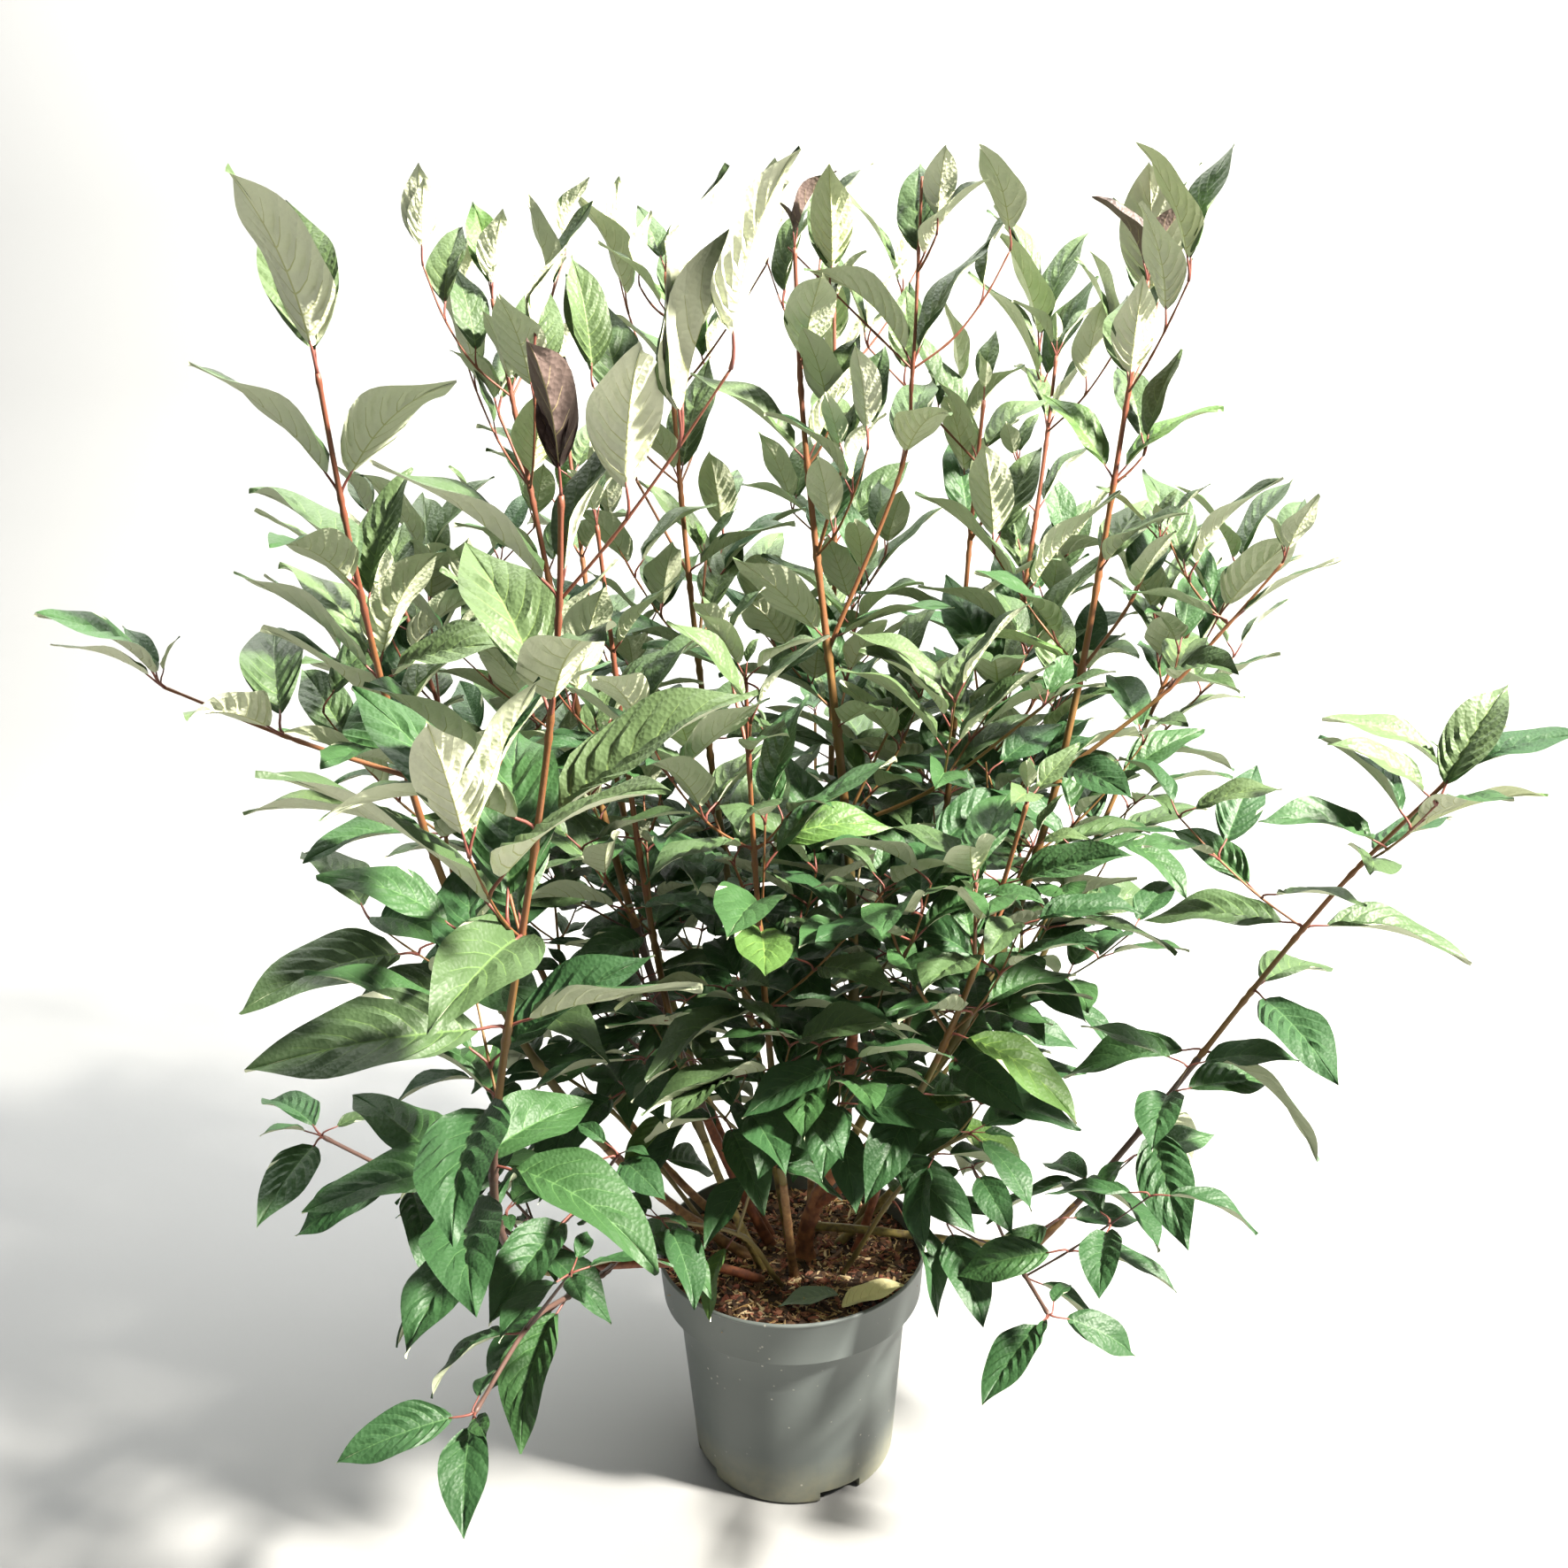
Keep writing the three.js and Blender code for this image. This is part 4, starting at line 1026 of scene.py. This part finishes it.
for order, mass in enumerate(masses):
    random = seeded(SMALL_SEED + order)
    for leaf in mass["missed"]:
        place_leaf(mass, leaf, SMALLER)
    for corners, _ in mass["shoots"]:
        lean = (corners[-1] - corners[-2]).normalized()
        turn = 360 * random()
        for half in (0, 180):
            size = mass["stem"]["leaf"] * BUD_LEAF * between(BUD_SIZES, random)
            place_leaf(mass, leaf_at(corners[-1], lean, turn + half, size, 3 * TIP_LIFT, random))
for order, mass in enumerate(masses):
    random = seeded(SIDE_SEED + order)
    for point, heading in mass["axils"]:
        high = share_of(point.z, SIDE_HEIGHTS)
        if random() < mass["stem"].get("fine", blend(*SIDE_SHARE, high)):
            grow_side(mass, point, heading, random)

# The leaf blades: thin, soft and pointed, quilted between arching side veins, six pairs in
# large leaves and four in small ones. Above they are dark to mid green and satiny,
# underneath pale and matt, with darker veins whose tint is partly their own and partly painted
# shade. The youngest are purple-brown and half folded.

# Large and small blades: the places of the veins up the rib, and of the columns across a half.
VEINS = ((0.07, 0.16, 0.27, 0.39, 0.52, 0.66), (0.09, 0.22, 0.38, 0.56))
COLUMNS = ((0.14, 0.42, 0.74, 1.0), (0.3, 0.68, 1.0))
BASE_MARGIN = 0.22
SMALL_LEAF = 94
YOUNG_FOLD = 0.85
YOUNG_WIDTH = 0.9
TIP_ROWS = (0.77, 0.87, 0.95)
VEIN_HALF = 0.0055
RIB_HALF = 0.017
FORWARD = 1.7
BLADE_START = 0.05
# The relief is in hundredths of the blade's length.
BLADE_THICK = 0.4
BULGE = 3.5
VEIN_RISE = 0.45
TWIST = 0.5
BOW = 0.12
WAVE = 0.025
WAVES = 11
SHARP_MARGIN = math.radians(50)
VEINLET_MESH = 3.2
VEINLET_DEPTH = 0.45


def make_rows(veins):
    """Each row's share of the rib, what part of a vein it is, and how far it is from the veins."""
    rows = [(0, 0, 0), (veins[0] / 2, 0, 1)]
    for i, vein in enumerate(veins):
        rows += [(vein, -1, 0), (vein, 1, 0)]
        if i + 1 < len(veins):
            rows.append(((vein + veins[i + 1]) / 2, 0, 1))
    return rows + [(share, 0, 0.4) for share in TIP_ROWS]


def make_blade(veins, half_columns):
    """A blade of unit length and width, upper side and underside: shares, relief, faces and kinds."""
    rows = make_rows(veins)
    columns = [-w for w in reversed(half_columns)] + [-0.0, 0.0] + list(half_columns)
    wide = len(columns)
    rib_columns = (wide // 2 - 1, wide // 2)
    grid = []
    for under in (0, 1):
        for share, vein, bulge in rows:
            for k, w in enumerate(columns):
                out = abs(w)
                at = share + vein * VEIN_HALF * (1 - 0.8 * out)
                # Veins arch forward, so a row meets the margin higher up than it leaves the rib.
                margin = 1 - (1 - BASE_MARGIN) * (1 - at) ** FORWARD
                x = at + (margin - at) * out**FORWARD
                y = w * half_width(margin)
                if k in rib_columns:
                    rib = min(RIB_HALF * (1 - 0.6 * at), 0.3 * half_width(margin))
                    y = rib * (-1 if k == rib_columns[0] else 1)
                    z = 0
                else:
                    # The skin bulges between the veins, least at the margin and the tip.
                    z = BULGE * bulge * math.sin(math.pi * min(out, 1) ** 0.8) * (1 - 0.5 * at)
                edge = out == 1 or share == 0
                if under and not edge:
                    on_vein = vein != 0 and out < 0.8 or k in rib_columns
                    z -= BLADE_THICK + (VEIN_RISE * (1 - 0.5 * out) if on_vein else 0)
                grid.append((BLADE_START + (1 - BLADE_START) * x, y, z, out))
        grid.append((1, 0, 0, 0))
    faces, kinds = [], []
    size = len(rows) * wide + 1
    for under in (0, 1):
        first = under * size
        for r in range(len(rows) - 1):
            for k in range(wide - 1):
                a = first + r * wide + k
                face = [a, a + 1, a + wide + 1, a + wide]
                rib = k == rib_columns[0]
                vein = rows[r][1] == -1 and 0 < k < wide - 2
                # Both sides are split along the same diagonal, so that they can't cross.
                faces.append(face if under else [face[0], *face[:0:-1]])
                kinds.append(2 * under + int(rib or vein))
        for k in range(wide - 1):
            a = first + (len(rows) - 1) * wide + k
            face = [a, a + 1, first + size - 1]
            faces.append(face if under else face[::-1])
            kinds.append(2 * under)
    return *joined_edges(np.array(grid), faces, wide, len(rows)), kinds


def joined_edges(grid, faces, wide, count):
    """Shares the margin's points between the two sides, so that the blade is closed."""
    size = count * wide + 1
    same = {}
    for r in range(count):
        for k in range(wide):
            if r == 0 or k in (0, wide - 1):
                same[size + r * wide + k] = r * wide + k
    same[2 * size - 1] = size - 1
    kept = [i for i in range(2 * size) if i not in same]
    number = {old: new for new, old in enumerate(kept)}
    for old, twin in same.items():
        number[old] = number[twin]
    return grid[kept], [[number[i] for i in face] for face in faces]


blades = [make_blade(*parts) for parts in zip(VEINS, COLUMNS)]


def blade_points(leaf, blade, random):
    """The blade's points on a leaf, with its own twist, side bend and waves along the margin."""
    x, y, z, out = blade.T
    along, face = np.array(leaf["along"]), np.array(leaf["face"])
    side = np.cross(along, face)
    length, curl = leaf["length"], leaf["curl"]
    twist, bow = vary(0, TWIST, random), vary(0, BOW, random)
    starts = [2 * math.pi * random() for _ in range(2)]
    wave = np.where(y > 0, np.sin(WAVES * x + starts[0]), np.sin(WAVES * x + starts[1]))
    fold = leaf["fold"] * (1.15 - 0.5 * x)
    across = y * leaf["width"] * np.cos(fold)
    up = np.abs(y) * leaf["width"] * np.sin(fold) + z * length / 100 + WAVE * length * wave * out**2
    turn = twist * x
    across, up = across * np.cos(turn) - up * np.sin(turn), across * np.sin(turn) + up * np.cos(turn)
    across = across + bow * length * x * x * (1 - 0.4 * x)
    bend = curl * x
    start = np.array(leaf["root"]) + along * PETIOLE
    points = start + np.outer(np.sin(bend) * length / curl, along)
    points -= np.outer((1 - np.cos(bend)) * length / curl, face)
    normal = np.outer(np.cos(bend), face) + np.outer(np.sin(bend), along)
    return points + across[:, None] * side + up[:, None] * normal


def leaf_surface(name, colour, roughness):
    """Leaf skin: one plain tint with a fine mesh of veinlets in relief that breaks the sheen."""
    material, tree, shader, place = new_material(name, roughness, 1.45, colour)
    # The real mesh is about a millimetre wide and is drawn three times as coarse, to show.
    cells = add_node(tree, "TexVoronoi", {"Scale": 1000 / VEINLET_MESH}, {"Vector": place})
    settings = {"Strength": 1, "Distance": VEINLET_DEPTH * MM}
    bump = add_node(tree, "Bump", settings, {"Height": (cells, "Distance")})
    tree.links.new(bump.outputs["Normal"], shader.inputs["Normal"])
    return material


# Each tone of leaf: skin above, veins above, skin underneath, veins underneath. The upper skin
# has a soft sheen between its veins, the downy underside has none. The veins underneath are
# mostly darker than their skin: partly a yellower colour of their own, partly painted shade
# along the raised veins.
LEAF_TONES = {
    "dark": ("#294a27", "#406038", "#adb597", "#8f966a"),
    "deep": ("#305129", "#47683a", "#bcc3a4", "#9ba172"),
    "mid": ("#405633", "#57703f", "#cad0b2", "#aaaf7d"),
    "fresh": ("#4d613b", "#677c48", "#d7dcbe", "#b8bc88"),
    # This tone is painted light: a yellow-green that stands in for sun shining through the blade.
    "bright": ("#48662f", "#68853f", "#ccd5a8", "#abb377"),
    "young": ("#463731", "#84724f", "#6f5e57", "#a3946c"),
}
LEAF_PARTS = ("skin_above", "vein_above", "skin_under", "vein_under")
SATINY = 0.54
MATT = 0.72
TONE_HEIGHTS = (350, 1250)
TONE_MIX = 0.75
PAINTED_GLOW_SHARE = 0.035
YOUNG_STEMS = ("front_left", "centre", "right")
YOUNG_REACH = 30
leaf_materials = {}
for tone, colours in LEAF_TONES.items():
    leaf_materials[tone] = [
        leaf_surface(f"leaf_{tone}_{part}", colour, SATINY if part.endswith("above") else MATT)
        for part, colour in zip(LEAF_PARTS, colours)
    ]


def tone_of(mass, leaf, random):
    """Dark low down, fresh higher up, a few in painted backlit glow, and purple-brown at some stems'
    tips.
    """
    draw, height = random(), share_of(leaf["root"].z, TONE_HEIGHTS)
    tip = mass["shoots"][0][0][-1]
    if mass["stem"]["name"] in YOUNG_STEMS and (leaf["root"] - tip).length < YOUNG_REACH:
        return "young"
    # A few leaves take a painted glow of sun through the blade, painted light rather than their own
    # colour.
    if draw < PAINTED_GLOW_SHARE:
        return "bright"
    score = height + TONE_MIX * (random() - 0.5)
    names = ("dark", "deep", "mid", "fresh")
    return names[min(3, max(0, int(4 * score)))]


def add_gathered(name, parts, materials):
    """One piece from parts, each of points, faces and the material of each face."""
    points, faces, dealt = [], [], []
    for part_points, part_faces, part_dealt in parts:
        start = len(points)
        points.extend(part_points)
        faces.extend([start + i for i in face] for face in part_faces)
        dealt.extend(part_dealt)
    return add_piece(name, points, faces, materials, dealt)


def make_leaves(mass, seed):
    """All leaf blades of a mass in one piece."""
    random = seeded(seed)
    tones = [tone_of(mass, leaf, random) for leaf in mass["leaves"]]
    used = sorted(set(tones))
    materials = [material for tone in used for material in leaf_materials[tone]]
    parts = []
    for leaf, tone in zip(mass["leaves"], tones):
        blade, blade_faces, kinds = blades[leaf["length"] < SMALL_LEAF]
        if tone == "young":
            leaf = {**leaf, "fold": YOUNG_FOLD, "width": YOUNG_WIDTH * leaf["width"]}
        tint = len(LEAF_PARTS) * used.index(tone)
        parts.append((blade_points(leaf, blade, random), blade_faces, [tint + kind for kind in kinds]))
    piece = add_gathered(f"leaves_{mass['stem']['name']}", parts, materials)
    piece.data.set_sharp_from_angle(angle=SHARP_MARGIN)
    return piece


# The young shoots and leaf stalks: this year's stems, smooth and round, swollen at the nodes.
# They are purple-brown or olive low down, orange-brown high up and red at the tips, the stalks
# brown-red.
SHOOT_SEED = 1200
BLADE_SEED = 1300
TINT_FOOT = 260
TINT_TOP = 960
NODE_SWELL = 0.35
NODE_REACH = 4
STALK_MARKS = (0, 0.25, 0.5, 0.75, 1)
STALK_TAPER = (0.95, 0.75, 0.66, 0.62, 0.5)
SHOOT_TINTS = ("#553f37", "#685c33", "#75562f", "#7b5031", "#784633")
PURPLE_STEMS = ("front_left", "low_left", "low_front", "low_right", "far_right", "left_centre")
STALK = len(SHOOT_TINTS)
# Fresh waxy bark: it shines softly along the lit side of each shoot and stalk.
shoot_materials = [
    plain_surface(f"shoot_bark_{i}", 0.5, 1.47, tint, 1.8, 0.2) for i, tint in enumerate(SHOOT_TINTS)
]
shoot_materials.append(plain_surface("leaf_stalk_red", 0.48, 1.47, "#76443a", 1.5, 0.12))


def shoot_tube(corners, thicks, sides, step):
    """A shoot through its corners, swollen a little past each bend, where a pair of leaves stands."""
    line, shares = smoothed(corners, step)
    radii = []
    for point, share in zip(line, shares):
        i = min(int(share * (len(thicks) - 1)), len(thicks) - 2)
        radius = blend(thicks[i], thicks[i + 1], share * (len(thicks) - 1) - i) / 2
        near = min((point - bend).length for bend in corners[1:]) - BEND
        radii.append(radius * (1 + NODE_SWELL * math.exp(-((near / NODE_REACH) ** 2))))
    return tube(line, radii, sides)


def stalk_tube(leaf):
    """A leaf stalk, which leaves the shoot upward and curves out to the blade."""
    start, end = leaf["root"], rib_point(leaf, BLADE_START + 0.03)
    reach = (end - start).length
    rise = (leaf["lean"] + leaf["along"] * 0.8).normalized() * (reach * 0.4)
    knots = (start, start + rise, end - leaf["along"] * (reach * 0.35), end)
    line = [curve_at(knots, t) for t in STALK_MARKS]
    thick = 0.8 + leaf["length"] / 160
    return tube(line, [thick * share for share in STALK_TAPER], 6)


def make_twigs(mass, seed):
    """All shoots and leaf stalks of a mass in one piece."""
    shift = 0.8 * (seeded(seed)() - 0.5)
    top = max(mass["shoots"][0][0][-1].z, TINT_TOP)
    first = 0 if mass["stem"]["name"] in PURPLE_STEMS else 1
    run = (first, first, 2, 3, 4)
    parts = []
    for i, (corners, thicks) in enumerate(mass["shoots"]):
        # The stem itself comes first, with more sides and longer steps than its finer shoots.
        points, faces = shoot_tube(corners, thicks, 7 if i else 10, 5 if i else 6)
        heights = [points[face[0]].z for face in faces]
        steps = [int(5 * (z - TINT_FOOT) / (top - TINT_FOOT) + shift) for z in heights]
        parts.append((points, faces, [run[min(4, max(0, step))] for step in steps]))
    for leaf in mass["leaves"]:
        points, faces = stalk_tube(leaf)
        parts.append((points, faces, [STALK] * len(faces)))
    return add_gathered(f"twigs_{mass['stem']['name']}", parts, shoot_materials)


for order, mass in enumerate(masses):
    for piece in (make_twigs(mass, SHOOT_SEED + order), make_leaves(mass, BLADE_SEED + order)):
        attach(piece, "root")
        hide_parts("foliage_" + mass["stem"]["name"])

# The fallen leaves: two on the mix under the crown, one gone grey-green and one pale yellow,
# both dry, limp and without any sheen. Their tints are partly their own colour and partly
# painted light, lifted paler as if the light fell on them.
FALLEN = [
    # place on the mix, heading and rise, length, tone
    ((62, -64), (190, 6), 66, "grey_green"),
    ((34, -96), (26, 9), 84, "pale_yellow"),
]
# Tints lifted paler than the leaves' own: partly their colour, partly painted light.
FALLEN_COLOURS_AND_PAINTED_LIGHT = {
    "grey_green": ("#8b9d89", "#a3b194", "#9dab92", "#b1bb9d"),
    "pale_yellow": ("#efe8b2", "#d8cb8e", "#efe9bb", "#d9cd99"),
}
FALLEN_SEED = 1500
FALLEN_RISE = 3
FALLEN_CURL = 0.3
FALLEN_FOLD = 0.4
PAPERY = 0.8
for order, (at, lie, length, tone) in enumerate(FALLEN):
    random = seeded(FALLEN_SEED + order)
    root, along = Vector((*at, SOIL + FALLEN_RISE)), direction(*lie)
    leaf = dict(root=root, along=along, face=(UP - along * along.z).normalized(), length=length,
                width=length * LEAF_WIDTH, curl=FALLEN_CURL, fold=FALLEN_FOLD)
    skins = [
        leaf_surface(f"fallen_{tone}_{part}", colour, PAPERY)
        for part, colour in zip(LEAF_PARTS, FALLEN_COLOURS_AND_PAINTED_LIGHT[tone])
    ]
    blade, blade_faces, kinds = blades[0]
    points = blade_points(leaf, blade, random)
    fallen = add_piece(f"fallen_leaf_{tone}", points, blade_faces, skins, kinds)
    fallen.data.set_sharp_from_angle(angle=SHARP_MARGIN)
    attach(fallen, "root")

# The studio: a plain pale sweep of matt paper under and behind the pot. The key stands high on
# the right, a weak fill on the left in front and an edge light behind, and a wide panel
# washes the sweep.
SWEEP = [(-4000, 0), (2200, 0), (2700, 60), (3100, 240), (3400, 520), (3580, 900), (3640, 1400)]
SWEEP += [(3660, 5000)]
SWEEP_HALF = 6000
ROOM_LIGHT = 0.07
sweep_points = [(x, y, z) for y, z in SWEEP for x in (-SWEEP_HALF, SWEEP_HALF)]
sweep_faces = [[2 * i, 2 * i + 1, 2 * i + 3, 2 * i + 2] for i in range(len(SWEEP) - 1)]
# Matt paper: it takes soft shadows and shows no reflection.
paper = plain_surface("matt_paper_pale_grey", 0.9, 1.46, "#8a8b8a", 3, 0.05)
floor = add_piece("studio_sweep", sweep_points, sweep_faces, [paper])


def add_light(name, place, target, size, watts, colour):
    """A large soft panel that faces a point."""
    light = bpy.data.lights.new(name, "AREA")
    light.size = size
    light.energy = watts
    light.color = linear(colour)[:3]
    panel = bpy.data.objects.new(name, light)
    panel.location = place
    panel.rotation_euler = (Vector(target) - Vector(place)).to_track_quat("-Z", "Y").to_euler()
    bpy.context.scene.collection.objects.link(panel)


add_light("key", (3.14, -1.36, 3.75), (0, 0, 0.7), 0.45, 1400, "#fff8ee")
add_light("fill", (-1.1, -2.2, 2.1), (-0.1, 0, 1.2), 1.2, 8, "#f4f6ff")
add_light("edge", (-0.6, 2.0, 2.9), (0, 0, 0.9), 1.6, 40, "#fffdf4")
add_light("backdrop", (0, 1.5, 3.5), (0, 3.6, 1.5), 3.6, 500, "#ffffff")
world = bpy.data.worlds.new("pale_room")
world.use_nodes = True
world.node_tree.nodes["Background"].inputs["Color"].default_value = linear("#e8eef4")
world.node_tree.nodes["Background"].inputs["Strength"].default_value = ROOM_LIGHT
bpy.context.scene.world = world
# The picture keeps the plain tones of a photograph taken in clear light.
bpy.context.scene.view_settings.view_transform = "Standard"
